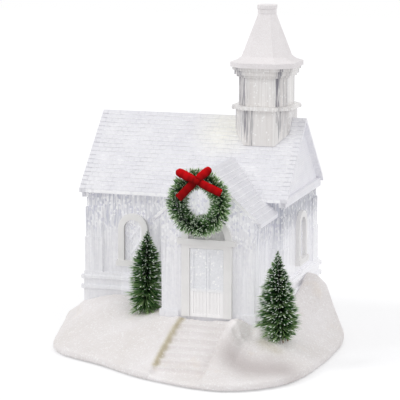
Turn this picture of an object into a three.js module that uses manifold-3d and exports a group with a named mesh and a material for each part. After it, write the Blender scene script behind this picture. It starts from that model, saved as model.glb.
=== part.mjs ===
// Lit winter chapel: a clear, liquid filled chapel on a snow bank, with wreath and two brush trees.
// Millimetres, +Z up. The origin is the centre of the snow base on the surface that it stands on.
// The door faces -Y and the ridge of the nave runs along X.
import * as THREE from 'three';
import Module from 'manifold-3d';
import { mergeVertices } from 'three/addons/utils/BufferGeometryUtils.js';

const wasm = await Module();
wasm.setup();

// Snow base
const BASE_HALF_WIDTH = 118;
const BASE_HALF_DEPTH = 126.5;
const RIM_BOTTOM = 0.8;
const RIM_HEIGHT = 5.5;
const SHELL_WALL = 3;
const SNOW_SKIN = 4.8;
const SNOW_LEVEL = 31.5;
const DECK_TOP = 26.5;
const DECK_THICKNESS = 2.5;
const BASE_SIDES = 60;

// Chapel plan
const NAVE_X = -5.9;
const NAVE_HALF_LENGTH = 79.7;
const NAVE_HALF_DEPTH = 51;
const BACK_BORDER = 18;
const NAVE_Y = BASE_HALF_DEPTH - BACK_BORDER - NAVE_HALF_DEPTH;
const PORCH_X = 27.8;
const PORCH_HALF_WIDTH = 36.5;
const PORCH_REACH = 44;
const WALL = 2.4;
const BASE_COURSE_OUT = 2.4;
const PORCH_COURSE_OUT = 1.4;
const PORCH_COURSE_RISE = 4;
const BASE_COURSE_TOP = 50.5;
const BEAD_RADIUS = 1.9;
const UPPER_BEAD = 4;
const LOWER_BEAD = 12;
const BUTTRESS_WIDTH = 13;
const BUTTRESS_TOP = 102;
const BUTTRESS_STEP = 78;
const BUTTRESS_OUT = 0.9;

// Roofs
const RIDGE_Z = 172.2;
const ROOF_SLOPE = 0.99;
const VERGE_OUT = 4.7;
const EAVE_OUT = 4.8;
const PORCH_RIDGE_Z = 143.7;
const PORCH_SLOPE = 0.896;
const PORCH_EAVE_OUT = 6;
const PORCH_VERGE_OUT = 4.25;
const ROOF_THICKNESS = 2.9;
const NAVE_COURSE = 4.13;
const PORCH_COURSE = 5.2;
const COURSE_LIP = 0.7;
const PORCH_ROOF_BITE = 2;
const PEDIMENT_BOTTOM = 110.3;
const PEDIMENT_BAND = 6.4;
const PEDIMENT_BAND_OUT = 3;

// Steeple
const TOWER_X = 46.1;
const LOWER_HALF = 21.5;
const BELFRY_HALF = 19.4;
const TOWER_WALL = 2;
const CHAMFER_SHARE = 0.57;
const LEDGE_HALF = 24;
const LEDGE_BOTTOM = 179.5;
const LEDGE_THICKNESS = 3;
const LEDGE_KNOB_RADIUS = 1.7;
const BELFRY_HEIGHT = 24;
const NECK_HALF = 21;
const NECK_DROP = 1.8;
const CORNICE_HALF = 22.6;
const CORNICE_THICKNESS = 3.6;
const EAVE_NECK = 2.2;
const EAVE_NECK_HALF = 24;
const EAVE_HALF = 25.6;
const EAVE_THICKNESS = 3.8;
const FLARE_HEIGHT = 4.2;
const FLARE_HALF = 17.6;
const FLARE_SHARE = 0.4;
const SPIRE_HEIGHT = 32.6;
const SPIRE_TOP_HALF = 6.3;
const SPIRE_CROWN = 6.5;
const CAP_HALF = 7;
const CAP_LIP = 0.5;
const CAP_HEIGHT = 7;

// Door and windows
const SILL_Z = 31.8;
const DOOR_HALF = 13.4;
const DOOR_HEIGHT = 52.7;
const JAMB = 6.3;
const FRAME_OUT = 3;
const LINTEL_HALF = 22.8;
const LINTEL_BOTTOM = 87.3;
const LINTEL_HEIGHT = 4.3;
const LINTEL_OUT = 4.2;
const FANLIGHT_RING = 5.2;
const GLAZING_BAR = 1.4;
const DOOR_THICKNESS = 1.4;
const DOOR_RAIL = 2.6;
const DOOR_RELIEF = 0.9;
const DOOR_MID_RAIL = 19.5;
const DOOR_STILE = 1.6;
const BOARD_PITCH = 2.6;
const BOARD_RIB = 0.6;
const BOARD_COUNT = 3;
const MEETING_GAP = 0.25;
const FANLIGHT_BARS = [45, 90, 135];
const WINDOW_HALF = 12.3;
const WINDOW_SILL_Z = 57;
const WINDOW_HEIGHT = 42;
const WINDOW_BAND = 5;
const WINDOW_SILL_HALF = 13.6;
const WINDOW_SILL_HEIGHT = 4.6;
const WINDOW_SILL_OUT = 4.2;
const WINDOW_BAY_X = -46.6;
const LATTICE_PITCH = 9;
const LATTICE_BAR = 0.9;
const LATTICE_RELIEF = 0.7;

// Steps up to the door
const STEP_COUNT = 8;
const STEP_RISE = 3.38;
const FOOT_TREAD = 24.9;
const STAIR_HALF = 18.6;
const STAIR_FLARE = 0.3;
const LANDING = 3.2;

// Trees, wreath and bow
const LEFT_TREE = { side: -1, beside: 18.8, ahead: -17, height: 67, radius: 13.6, skirt: 1.5, strands: 130 };
const RIGHT_TREE = { side: 1, beside: 24.7, ahead: 11.5, height: 71, radius: 17, skirt: 3.5, strands: 140 };
const LEFT_TREE_SHAPE = { taper: 1.6, foot: 0.75, lean: 1.5 };
const RIGHT_TREE_SHAPE = { taper: 1.2, foot: 0.3, lean: -3 };
const STEM_RADIUS = 0.9;
const STEM_DEPTH = 5;
const FOOT_SHARE = 0.2;
const BRUSH_CORE_SHARE = 0.72;
const STRAND_HALF = 0.75;
const WREATH_X = 24.6;
const WREATH_Z = 121.3;
const WREATH_RING = 17.3;
const WREATH_BRUSH = 8.6;
const WREATH_STRANDS = 140;
const RIBBON_WIDTH = 6.2;
const RIBBON_THICKNESS = 0.9;
const BOW_LOOP_DEPTH = 4.2;
const BOW_X = 1;
const BOW_RISE = 18.6;
const BOW_REACH = 21;
const BOW_SEAT = 6.9;
const BOW_KNOT = 3.6;
const LOOP_LENGTH = 15;
const TAIL_LENGTH = 20;
const LOOP_ANGLES = [152, 40];
const TAIL_ANGLES = [228, -25];
const PEG_RADIUS = 1.6;
const PEG_DROP = 4;

// Battery box, switch and board under the chapel
const COVER_BOTTOM = 1.5;
const COVER_THICKNESS = 2.4;
const RUBBER_INSET = 8;
const RUBBER_WIDTH = 5;
const SCREW_RADIUS = 1.3;
const SCREW_HEAD_RADIUS = 2.6;
const SCREW_HEAD_HEIGHT = 1.6;
const BOSS_RADIUS = 3.8;
const COVER_SCREW_SHARES = [[-0.675, 0.1], [-0.675, 0.81], [0.575, 0.1], [0.575, 0.81]];
const COVER_SCREW_LENGTH = 13;
const CELL_RADIUS = 7.25;
const CELL_LENGTH = 49.5;
const CELL_NIPPLE_RADIUS = 2.7;
const CELL_NIPPLE = 1;
const CELL_PITCH = 15.2;
const CELL_COUNT = 3;
const TRAY_WALL = 1.6;
const TRAY_TOP = 21.8;
const CONTACT_THICKNESS = 0.6;
const SPRING_LENGTH = 5;
const SPRING_RADIUS = 3.4;
const TRAY_GAP = 0.9;
const LATCH_HALF = 6;
const LATCH_THICKNESS = 1.2;
const CONTACT_HALF = 5;
const HINGE_Z = 3.3;
const HINGE_RADIUS = 1.75;
const HINGE_PIN_RADIUS = 0.8;
const HINGE_PIN_LENGTH = 2;
const EAR_HALF = 2;
const EAR_OFFSET = 2.2;
const SWITCH_BESIDE = 47.9;
const SWITCH_AHEAD = 21.5;
const SWITCH_TRAVEL = 2.5;
const SWITCH_STEM = 2.6;
const SWITCH_LENGTH = 13.5;
const SWITCH_WIDTH = 7;
const SWITCH_HEIGHT = 6;
const SLIDER_LENGTH = 5;
const SLIDER_HALF = 1.8;
const SLIDER_TOP = 3;
const BOARD_BESIDE = 47.9;
const BOARD_BEHIND = 20.5;
const BOARD_LENGTH = 36;
const BOARD_WIDTH = 26;
const BOARD_THICKNESS = 1.6;
const BOARD_Z = 12;
const BOARD_POST_RADIUS = 2.2;
const BOARD_POST_INSET = 4;
const BOARD_SINK = 0.6;
const LEAD_RADIUS = 0.8;

// Magnetic drive and the chamber above it
const DRIVE_WINDOW = 23.5;
const MOTOR_RADIUS = 12;
const MOTOR_HEIGHT = 11;
const MOTOR_TOP = 18.5;
const BRACKET_THICKNESS = 1.4;
const BRACKET_HALF_LENGTH = 30;
const BRACKET_HALF_WIDTH = 11;
const BRACKET_PAD = 5.6;
const MOTOR_BOSS_RADIUS = 3;
const MOTOR_BOSS_HEIGHT = 1.2;
const SHAFT_HOLE_RADIUS = 2.5;
const SHAFT_RADIUS = 1;
const CARRIER_RADIUS = 12.5;
const CARRIER_THICKNESS = 3.8;
const MAGNET_INNER = 4;
const MAGNET_OUTER = 10;
const MAGNET_THICKNESS = 2.4;
const LED_RING_INNER = 14.5;
const LED_RING_OUTER = 22;
const LED_BOARD_THICKNESS = 1.2;
const LED_RADIUS = 2.4;
const LED_HEIGHT = 2.6;
const LENS_THICKNESS = 0.8;
const LED_COUNT = 4;
const FLOOR_THICKNESS = 3;
const GASKET_WIDTH = 1.6;
const SPINDLE_RADIUS = 1.7;
const IMPELLER_RADIUS = 13.5;
const IMPELLER_DISC = 3.4;
const IMPELLER_HEIGHT = 9;
const IMPELLER_HUB = 4.4;
const BLADE_THICKNESS = 1.4;
const BLADE_COUNT = 4;
const SPINDLE_FIT = 0.2;
const GUARD_RADIUS = 19;
const GUARD_HEIGHT = 13.5;
const GUARD_THICKNESS = 1.5;
const GUARD_HOLE_RADIUS = 3.6;
const GUARD_HOLE_RING = 11;
const GUARD_HOLES = 6;
const GUARD_LEGS = 4;
const GUARD_LEG_DEPTH = 3;
const GUARD_LEG_WIDTH = 5;
const PLUG_RADIUS = 4.5;
const PLUG_FLANGE = 1.4;
const PLUG_DROP = 2;
const PLUG_OFFSET = 56;
const FILL_LEVEL = 150;

// Clearances
const FIT = 0.3;
const GLUE = 0.1;
const TALL = 400;
const LEAST_LENGTH = 1e-6;
const PAST = 1;

// Derived levels and planes
const NAVE_FRONT = NAVE_Y - NAVE_HALF_DEPTH;
const PORCH_FRONT = NAVE_FRONT - PORCH_REACH;
const STEP_GOING = (BASE_HALF_DEPTH + PORCH_FRONT - LANDING - FOOT_TREAD) / (STEP_COUNT - 1);
const ROOF_HALF_LENGTH = NAVE_HALF_LENGTH + VERGE_OUT;
const ROOF_HALF_DEPTH = NAVE_HALF_DEPTH + EAVE_OUT;
const PORCH_ROOF_HALF = PORCH_HALF_WIDTH + PORCH_EAVE_OUT;
const trayHalfWidth = (CELL_COUNT * CELL_PITCH) / 2 + FIT;
const BATTERY_X = NAVE_X - BRACKET_HALF_LENGTH - TRAY_GAP - TRAY_WALL - trayHalfWidth;
const BATTERY_Y = NAVE_Y;
const SWITCH_X = NAVE_X + SWITCH_BESIDE;
const SWITCH_Y = NAVE_Y - SWITCH_AHEAD;
const BOARD_X = NAVE_X + BOARD_BESIDE;
const BOARD_Y = NAVE_Y + BOARD_BEHIND;
const PORCH_VERGE = PORCH_FRONT - PORCH_VERGE_OUT;
const WALL_FOOT = DECK_TOP + FIT;
const DECK_UNDERSIDE = DECK_TOP - DECK_THICKNESS;
const COVER_TOP = COVER_BOTTOM + COVER_THICKNESS;
const LEDGE_TOP = LEDGE_BOTTOM + LEDGE_THICKNESS;
const BELFRY_TOP = LEDGE_TOP + BELFRY_HEIGHT;
const CORNICE_TOP = BELFRY_TOP + CORNICE_THICKNESS;
const EAVE_BOTTOM = CORNICE_TOP + EAVE_NECK + GLUE;
const EAVE_TOP = EAVE_BOTTOM + EAVE_THICKNESS;
const FLARE_TOP = EAVE_TOP + FLARE_HEIGHT;
const SPIRE_TOP = FLARE_TOP + SPIRE_HEIGHT;
const FLOOR_BOTTOM = WALL_FOOT;
const FLOOR_TOP = FLOOR_BOTTOM + FLOOR_THICKNESS;
const FRAME_BACK = PORCH_FRONT - GLUE;
const DOOR_TOP = SILL_Z + DOOR_HEIGHT;
const LINTEL_TOP = LINTEL_BOTTOM + LINTEL_HEIGHT;
const GOLDEN_ANGLE = Math.PI * (3 - Math.sqrt(5));

// Outline of the snow base as shares of its half width and half depth, anticlockwise from the left
const BASE_OUTLINE = [
  [-0.84, -0.174], [-0.765, -0.415], [-0.66, -0.53], [-0.346, -0.676], [-0.041, -0.85],
  [0.16, -0.925], [0.425, -0.992], [0.64, -0.97], [0.866, -0.794], [0.942, -0.62],
  [0.985, -0.32], [1, -0.004], [0.978, 0.3], [0.875, 0.593], [0.77, 0.83],
  [0.424, 0.964], [0, 1], [-0.424, 0.972], [-0.746, 0.862], [-0.932, 0.66],
  [-0.99, 0.4], [-0.913, 0.1],
];

// Soft mounds and hollows of the snow: centre as shares of the half sizes, height and reach
const SNOW_MOUNDS = [
  { u: -0.525, v: -0.095, height: 6, reach: 19 },
  { u: 0.814, v: 0.462, height: 27.5, reach: 20 },
  { u: 0.729, v: 0.696, height: 5, reach: 16 },
  { u: 0.78, v: -0.063, height: 5, reach: 18 },
  { u: 0.754, v: -0.364, height: 3.4, reach: 15 },
  { u: 0.559, v: -0.379, height: -5, reach: 9 },
  { u: 0.678, v: -0.711, height: -3, reach: 13 },
  { u: -0.229, v: -0.19, height: 2, reach: 18 },
  { u: -0.83, v: 0.016, height: -5, reach: 20 },
  { u: -0.66, v: -0.3, height: 2.4, reach: 8 },
  { u: 0.47, v: -0.68, height: -2.4, reach: 7 },
];
const SNOW_FALL = 1.18;
const RIM_FADE = 14;

// Banks beside the steps: side, distance from the steps, half width, and height at both ends
const SNOW_BANKS = [
  { side: -1, beside: 3.6, half: 10, high: 3.5, low: 3 },
  { side: 1, beside: 7.6, half: 14, high: 11, low: 6 },
];
const BANK_START = 6;
const BANK_SINK = 1;

// Turning geometries into solids and back
function solidOf(geometry) {
  const bare = geometry.clone();
  bare.deleteAttribute('normal');
  bare.deleteAttribute('uv');
  const merged = mergeVertices(bare, 1e-4);
  const source = merged.index.array;
  const corners = [];
  for (let i = 0; i < source.length; i += 3) {
    const [a, b, c] = [source[i], source[i + 1], source[i + 2]];
    if (a !== b && b !== c && c !== a) corners.push(a, b, c);
  }
  return new wasm.Manifold(new wasm.Mesh({
    numProp: 3,
    vertProperties: new Float32Array(merged.attributes.position.array),
    triVerts: new Uint32Array(corners),
  }));
}

function geometryOf(solid) {
  const mesh = solid.getMesh();
  const geometry = new THREE.BufferGeometry();
  geometry.setAttribute('position', new THREE.BufferAttribute(mesh.vertProperties, 3));
  geometry.setIndex(new THREE.BufferAttribute(mesh.triVerts, 1));
  geometry.computeVertexNormals();
  return geometry;
}

function joined(solids) {
  return solids.reduce((whole, solid) => whole.add(solid));
}

function cut(solid, cutters) {
  return cutters.reduce((rest, cutter) => rest.subtract(cutter), solid);
}

// Plain shapes in the frame of the part
function box(x0, x1, y0, y1, z0, z1) {
  const geometry = new THREE.BoxGeometry(x1 - x0, y1 - y0, z1 - z0);
  geometry.translate((x0 + x1) / 2, (y0 + y1) / 2, (z0 + z1) / 2);
  return solidOf(geometry);
}

function post(radius, x, y, z0, z1, sides = 16) {
  const geometry = new THREE.CylinderGeometry(radius, radius, z1 - z0, sides);
  geometry.rotateX(Math.PI / 2);
  geometry.translate(x, y, (z0 + z1) / 2);
  return solidOf(geometry);
}

function rodAlongX(radius, x0, x1, y, z, sides = 12) {
  const geometry = new THREE.CylinderGeometry(radius, radius, x1 - x0, sides);
  geometry.rotateZ(Math.PI / 2);
  geometry.translate((x0 + x1) / 2, y, z);
  return solidOf(geometry);
}

function rodAlongY(radius, x, y0, y1, z, sides = 12) {
  const geometry = new THREE.CylinderGeometry(radius, radius, y1 - y0, sides);
  geometry.translate(x, (y0 + y1) / 2, z);
  return solidOf(geometry);
}

function flatShape(points, holes = []) {
  const shape = new THREE.Shape(points.map(([u, v]) => new THREE.Vector2(u, v)));
  for (const hole of holes) {
    shape.holes.push(new THREE.Path(hole.map(([u, v]) => new THREE.Vector2(u, v))));
  }
  return shape;
}

function extruded(points, depth, holes = []) {
  return new THREE.ExtrudeGeometry(flatShape(points, holes), { depth, bevelEnabled: false });
}

function plate(points, z0, z1, holes = []) {
  const geometry = extruded(points, z1 - z0, holes);
  geometry.translate(0, 0, z0);
  return solidOf(geometry);
}

// A profile of (y, z) points pushed along X
function prismAlongX(points, x0, x1) {
  const geometry = extruded(points, x1 - x0);
  geometry.applyMatrix4(new THREE.Matrix4().set(0, 0, 1, x0, 1, 0, 0, 0, 0, 1, 0, 0, 0, 0, 0, 1));
  return solidOf(geometry);
}

// A profile of (x, z) points pushed along Y, from y0 to y1
function prismAlongY(points, y0, y1, holes = []) {
  const geometry = extruded(points, y1 - y0, holes);
  geometry.applyMatrix4(new THREE.Matrix4().set(1, 0, 0, 0, 0, 0, -1, y1, 0, 1, 0, 0, 0, 0, 0, 1));
  return solidOf(geometry);
}

function circle(radius, x, y, sides) {
  const points = [];
  for (let i = 0; i < sides; i += 1) {
    const angle = (2 * Math.PI * i) / sides;
    points.push([x + radius * Math.cos(angle), y + radius * Math.sin(angle)]);
  }
  return points;
}

function rectangle(halfWidth, halfDepth, x = 0, y = 0) {
  return [
    [x - halfWidth, y - halfDepth], [x + halfWidth, y - halfDepth],
    [x + halfWidth, y + halfDepth], [x - halfWidth, y + halfDepth],
  ];
}

// A round bar along a smooth curve through the given points
function bar(points, radius, sides, steps) {
  const path = new THREE.CatmullRomCurve3(points.map(([x, y, z]) => new THREE.Vector3(x, y, z)));
  const section = flatShape(circle(radius, 0, 0, sides));
  return solidOf(new THREE.ExtrudeGeometry(section, { steps, extrudePath: path, bevelEnabled: false }));
}

// Scene
const chapel = new THREE.Group();

function surface(color, roughness, metalness = 0) {
  return new THREE.MeshStandardMaterial({ color, roughness, metalness });
}

function piece(name, solid, material, parent = chapel) {
  const mesh = new THREE.Mesh(geometryOf(solid), material);
  mesh.name = name;
  parent.add(mesh);
  return mesh;
}

const SNOW = 0xf6f2ea;
const FROST = 0xeeeff3;
const CLEAR = 0xdde2ea;
const FRAME_WHITE = 0xf2f1ee;
const BRUSH_GREEN = 0x2f5a39;
const VELVET_RED = 0xb80f14;
const DARK_PLASTIC = 0x3c3c40;
const PLATED = 0xc4c6c8;
const COPPER_RED = 0xb02a20;
const COPPER_BLACK = 0x202022;

// Outline points of the snow base, scaled to its exact half sizes
function baseOutline() {
  const knots = BASE_OUTLINE.map(([u, v]) => new THREE.Vector3(u, v, 0));
  const curve = new THREE.CatmullRomCurve3(knots, true);
  const points = curve.getSpacedPoints(BASE_SIDES).slice(0, BASE_SIDES);
  const spans = ['x', 'y'].map((key) => {
    const values = points.map((point) => point[key]);
    return [Math.min(...values), Math.max(...values)];
  });
  return points.map((point) => [
    BASE_HALF_WIDTH * ((2 * (point.x - spans[0][0])) / (spans[0][1] - spans[0][0]) - 1),
    BASE_HALF_DEPTH * ((2 * (point.y - spans[1][0])) / (spans[1][1] - spans[1][0]) - 1),
  ]);
}

const outline = baseOutline();

// Every second outline point, moved in by the given gap
function insetOutline(gap) {
  return outline.filter((point, index) => index % 2 === 0).map(([x, y]) => {
    const radius = Math.hypot(x, y);
    return [x * (1 - gap / radius), y * (1 - gap / radius)];
  });
}

// Distance from the middle of the base to its outline in the direction of a point
function edgeRadius(x, y) {
  for (const [index, [ax, ay]] of outline.entries()) {
    const [bx, by] = outline[(index + 1) % outline.length];
    const across = x * (by - ay) - y * (bx - ax);
    const reach = (ax * by - ay * bx) / across;
    const share = (ax * y - ay * x) / -across;
    if (reach > 0 && share >= 0 && share <= 1) return reach * Math.hypot(x, y);
  }
  return BASE_HALF_WIDTH;
}

function distanceToRectangle(x, y, centreX, centreY, halfWidth, halfDepth) {
  const dx = Math.max(Math.abs(x - centreX) - halfWidth, 0);
  const dy = Math.max(Math.abs(y - centreY) - halfDepth, 0);
  return Math.hypot(dx, dy);
}

function distanceToChapel(x, y) {
  const courseHalf = NAVE_HALF_DEPTH + BASE_COURSE_OUT;
  const nave = distanceToRectangle(x, y, NAVE_X, NAVE_Y, NAVE_HALF_LENGTH + BASE_COURSE_OUT, courseHalf);
  const porchMiddle = PORCH_FRONT + PORCH_REACH / 2;
  const porch = distanceToRectangle(x, y, PORCH_X, porchMiddle, PORCH_HALF_WIDTH, PORCH_REACH / 2);
  return Math.min(nave, porch);
}

// Levels of the steps: each has its front and back edge, its height and its half width
function steps() {
  const list = [];
  for (let i = 0; i < STEP_COUNT; i += 1) {
    const back = PORCH_FRONT - LANDING - i * STEP_GOING;
    const last = i === STEP_COUNT - 1;
    list.push({
      back,
      front: last ? -BASE_HALF_DEPTH - SHELL_WALL : back - STEP_GOING,
      z: SILL_Z - FIT - (i + 1) * STEP_RISE,
      half: STAIR_HALF + (i + 1) * STAIR_FLARE,
    });
  }
  return list;
}

const stairs = steps();
const STAIR_FOOT = stairs[STEP_COUNT - 1].back;

// Height of the snow at a point that lies toEdge inside the rim
function snowHeight(x, y, toEdge) {
  const toWall = distanceToChapel(x, y);
  const inside = Math.max(toEdge, 0);
  const fall = toWall / (toWall + inside + LEAST_LENGTH);
  const rimTop = RIM_BOTTOM + RIM_HEIGHT;
  let height = rimTop + (SNOW_LEVEL - rimTop) * (1 - fall) ** SNOW_FALL;
  const fade = Math.min(1, inside / RIM_FADE);
  for (const mound of SNOW_MOUNDS) {
    const square = (x - mound.u * BASE_HALF_WIDTH) ** 2 + (y - mound.v * BASE_HALF_DEPTH) ** 2;
    height += fade * mound.height * Math.exp(-square / (2 * mound.reach ** 2));
  }
  return height;
}

// A closed body between the floor and the snow, its rim moved in by inset and its skin down by depth
const SKIN_RINGS = [0.985, 0.95, 0.9, 0.84, 0.77, 0.69, 0.6, 0.5, 0.39, 0.26, 0.13];
const CAVITY_RINGS = [0.97, 0.88, 0.76, 0.62, 0.45, 0.25];

function snowBody(inset, depth, bottom, rings, lowest) {
  const rows = [];
  const edge = inset > 0 ? insetOutline(inset) : outline;
  const level = (height) => Math.max(height - depth, lowest);
  rows.push(edge.map(([x, y]) => [x, y, bottom]));
  rows.push(edge.map(([x, y]) => [x, y, level(RIM_BOTTOM + RIM_HEIGHT)]));
  for (const share of rings) {
    rows.push(edge.map(([x, y]) => {
      const toEdge = (1 - share) * Math.hypot(x, y) + inset;
      return [x * share, y * share, level(snowHeight(x * share, y * share, toEdge))];
    }));
  }
  const positions = rows.flat(2);
  const count = edge.length;
  const triangles = [];
  for (let row = 0; row + 1 < rows.length; row += 1) {
    for (let i = 0; i < count; i += 1) {
      const next = (i + 1) % count;
      const [low, high] = [row * count, (row + 1) * count];
      triangles.push(low + i, low + next, high + next, low + i, high + next, high + i);
    }
  }
  const top = rows.length * count;
  positions.push(0, 0, level(snowHeight(0, 0, TALL)), 0, 0, bottom);
  for (let i = 0; i < count; i += 1) {
    const next = (i + 1) % count;
    triangles.push((rows.length - 1) * count + i, (rows.length - 1) * count + next, top);
    triangles.push(next, i, top + 1);
  }
  const geometry = new THREE.BufferGeometry();
  geometry.setAttribute('position', new THREE.Float32BufferAttribute(positions, 3));
  geometry.setIndex(triangles);
  return solidOf(geometry);
}

// Two boxes that cover the chapel's foot, grown by the given gap
function footprint(gap, z0, z1) {
  const course = BASE_COURSE_OUT + gap;
  const porchCourse = PORCH_COURSE_OUT + gap;
  return joined([
    box(
      NAVE_X - NAVE_HALF_LENGTH - course, NAVE_X + NAVE_HALF_LENGTH + course,
      NAVE_FRONT - course, NAVE_Y + NAVE_HALF_DEPTH + course, z0, z1,
    ),
    box(
      PORCH_X - PORCH_HALF_WIDTH - porchCourse, PORCH_X + PORCH_HALF_WIDTH + porchCourse,
      PORCH_FRONT - porchCourse, NAVE_Y, z0, z1,
    ),
  ]);
}

// Where the screws of the bottom cover and of the chapel stand
const COVER_SCREWS = COVER_SCREW_SHARES.map(([u, v]) => [u * BASE_HALF_WIDTH, v * BASE_HALF_DEPTH]);
const courseMiddle = (BASE_COURSE_OUT - WALL) / 2;
const CHAPEL_SCREWS = [
  [NAVE_X - NAVE_HALF_LENGTH - courseMiddle, NAVE_Y], [NAVE_X + NAVE_HALF_LENGTH + courseMiddle, NAVE_Y],
];
const CHAPEL_SCREW_BITE = 9;

function snowSurface(x, y) {
  return snowHeight(x, y, edgeRadius(x, y) - Math.hypot(x, y));
}

// Each tree stands beside the porch and ahead of its front wall
const trees = [LEFT_TREE, RIGHT_TREE].map((tree) => {
  const x = PORCH_X + tree.side * (PORCH_HALF_WIDTH + tree.beside);
  const y = PORCH_FRONT - tree.ahead;
  return { ...tree, x, y, z: snowSurface(x, y) };
});

// A ridge of snow beside the steps: a smooth strip that is highest in its middle and sinks in at its borders
function snowBank({ side, beside, half, high, low }) {
  const rows = 10;
  const columns = 8;
  const middle = PORCH_X + side * (STAIR_HALF + beside);
  const [start, end] = [PORCH_FRONT + BANK_START, STAIR_FOOT - STEP_GOING / 2];
  const positions = [];
  for (let i = 0; i <= rows; i += 1) {
    const along = i / rows;
    const y = start + (end - start) * along;
    for (let k = 0; k <= columns; k += 1) {
      const across = (2 * k) / columns - 1;
      const x = middle + across * half;
      const crest = (high + (low - high) * along) * Math.cos((Math.PI / 2) * across) ** 2;
      const ends = Math.min(1, 4 * along, 4 * (1 - along));
      positions.push(x, y, Math.max(snowSurface(x, y) + ends * crest - BANK_SINK, COVER_BOTTOM));
    }
  }
  const count = positions.length / 3;
  for (let i = 0; i < count; i += 1) positions.push(positions[3 * i], positions[3 * i + 1], RIM_BOTTOM);
  const triangles = [];
  const wide = columns + 1;
  const quad = (a, b, c, d) => triangles.push(a, b, c, a, c, d);
  for (let i = 0; i < rows; i += 1) {
    for (let k = 0; k < columns; k += 1) {
      const at = i * wide + k;
      quad(at, at + wide, at + wide + 1, at + 1);
      quad(count + at, count + at + 1, count + at + wide + 1, count + at + wide);
    }
    const [left, right] = [i * wide, i * wide + columns];
    quad(left, count + left, count + left + wide, left + wide);
    quad(right, right + wide, count + right + wide, count + right);
  }
  for (let k = 0; k < columns; k += 1) {
    const last = rows * wide + k;
    quad(k, k + 1, count + k + 1, count + k);
    quad(last, count + last, count + last + 1, last + 1);
  }
  const geometry = new THREE.BufferGeometry();
  geometry.setAttribute('position', new THREE.Float32BufferAttribute(positions, 3));
  geometry.setIndex(triangles);
  return solidOf(geometry);
}

function snowBase() {
  const skin = snowBody(0, 0, RIM_BOTTOM, SKIN_RINGS, RIM_BOTTOM);
  const blocks = stairs.map((step) => box(
    PORCH_X - step.half, PORCH_X + step.half, Math.max(step.front, STAIR_FOOT), step.back, RIM_BOTTOM, step.z,
  ).intersect(skin.add(box(
    PORCH_X - STAIR_HALF, PORCH_X + STAIR_HALF, STAIR_FOOT, PORCH_FRONT, RIM_BOTTOM, TALL,
  ))));
  const air = stairs.map((step) => box(
    PORCH_X - step.half, PORCH_X + step.half, step.front, step.back, step.z, TALL,
  ));
  const landingHalf = Math.max(STAIR_HALF, DOOR_HALF + JAMB + FIT);
  const landing = box(
    PORCH_X - landingHalf, PORCH_X + landingHalf, PORCH_FRONT - LANDING, PORCH_FRONT, SILL_Z - FIT, TALL,
  );
  const treads = stairs.map((step) => box(
    PORCH_X - step.half - SHELL_WALL, PORCH_X + step.half + SHELL_WALL,
    step.front, step.back + SHELL_WALL, Math.max(step.z - SHELL_WALL, COVER_BOTTOM + FIT), TALL,
  ));
  const hollow = snowBody(SHELL_WALL, SNOW_SKIN, RIM_BOTTOM - PAST, CAVITY_RINGS, COVER_TOP + 2 * FIT);
  const cavity = cut(hollow, [
    ...treads,
    footprint(SHELL_WALL, DECK_UNDERSIDE, TALL),
  ]);
  const bosses = COVER_SCREWS.map(([x, y]) => cut(
    post(BOSS_RADIUS, x, y, COVER_TOP, DECK_UNDERSIDE + DECK_THICKNESS / 2, 12),
    [post(SCREW_RADIUS + FIT, x, y, COVER_TOP - PAST, COVER_TOP + COVER_SCREW_LENGTH, 8)],
  ));
  const holes = CHAPEL_SCREWS.map(([x, y]) => post(
    SCREW_RADIUS + FIT, x, y, DECK_UNDERSIDE - PAST, DECK_TOP + PAST, 8,
  ));
  const sockets = trees.map((tree) => post(
    STEM_RADIUS + FIT, tree.x, tree.y, tree.z - STEM_DEPTH - FIT, TALL, 8,
  ));
  const shell = cut(joined([skin, ...blocks, ...SNOW_BANKS.map(snowBank)]), [
    ...air, landing, footprint(FIT, DECK_TOP, TALL), cavity,
    footprint(BEAD_RADIUS + FIT, BASE_COURSE_TOP - LOWER_BEAD - BEAD_RADIUS - FIT, TALL),
  ]);
  return cut(joined([shell, ...bosses]), [
    ...holes, ...sockets,
    post(DRIVE_WINDOW, NAVE_X, NAVE_Y, DECK_UNDERSIDE - PAST, DECK_TOP + PAST, 32),
    post(PLUG_RADIUS + 2, NAVE_X + PLUG_OFFSET, NAVE_Y, DECK_UNDERSIDE - PAST, DECK_TOP + PAST, 16),
  ]);
}

// Battery box sizes that the cover, the tray and the door share
const trayLength = CELL_LENGTH + CELL_NIPPLE + SPRING_LENGTH + 2 * CONTACT_THICKNESS + 4 * FIT;
const trayHalfLength = trayLength / 2;
const hingeY = trayHalfLength + TRAY_WALL + HINGE_RADIUS + 2 * FIT;
const doorFront = -trayHalfLength;
const battery = new THREE.Group();
battery.position.set(BATTERY_X, BATTERY_Y, 0);
chapel.add(battery);

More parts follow.
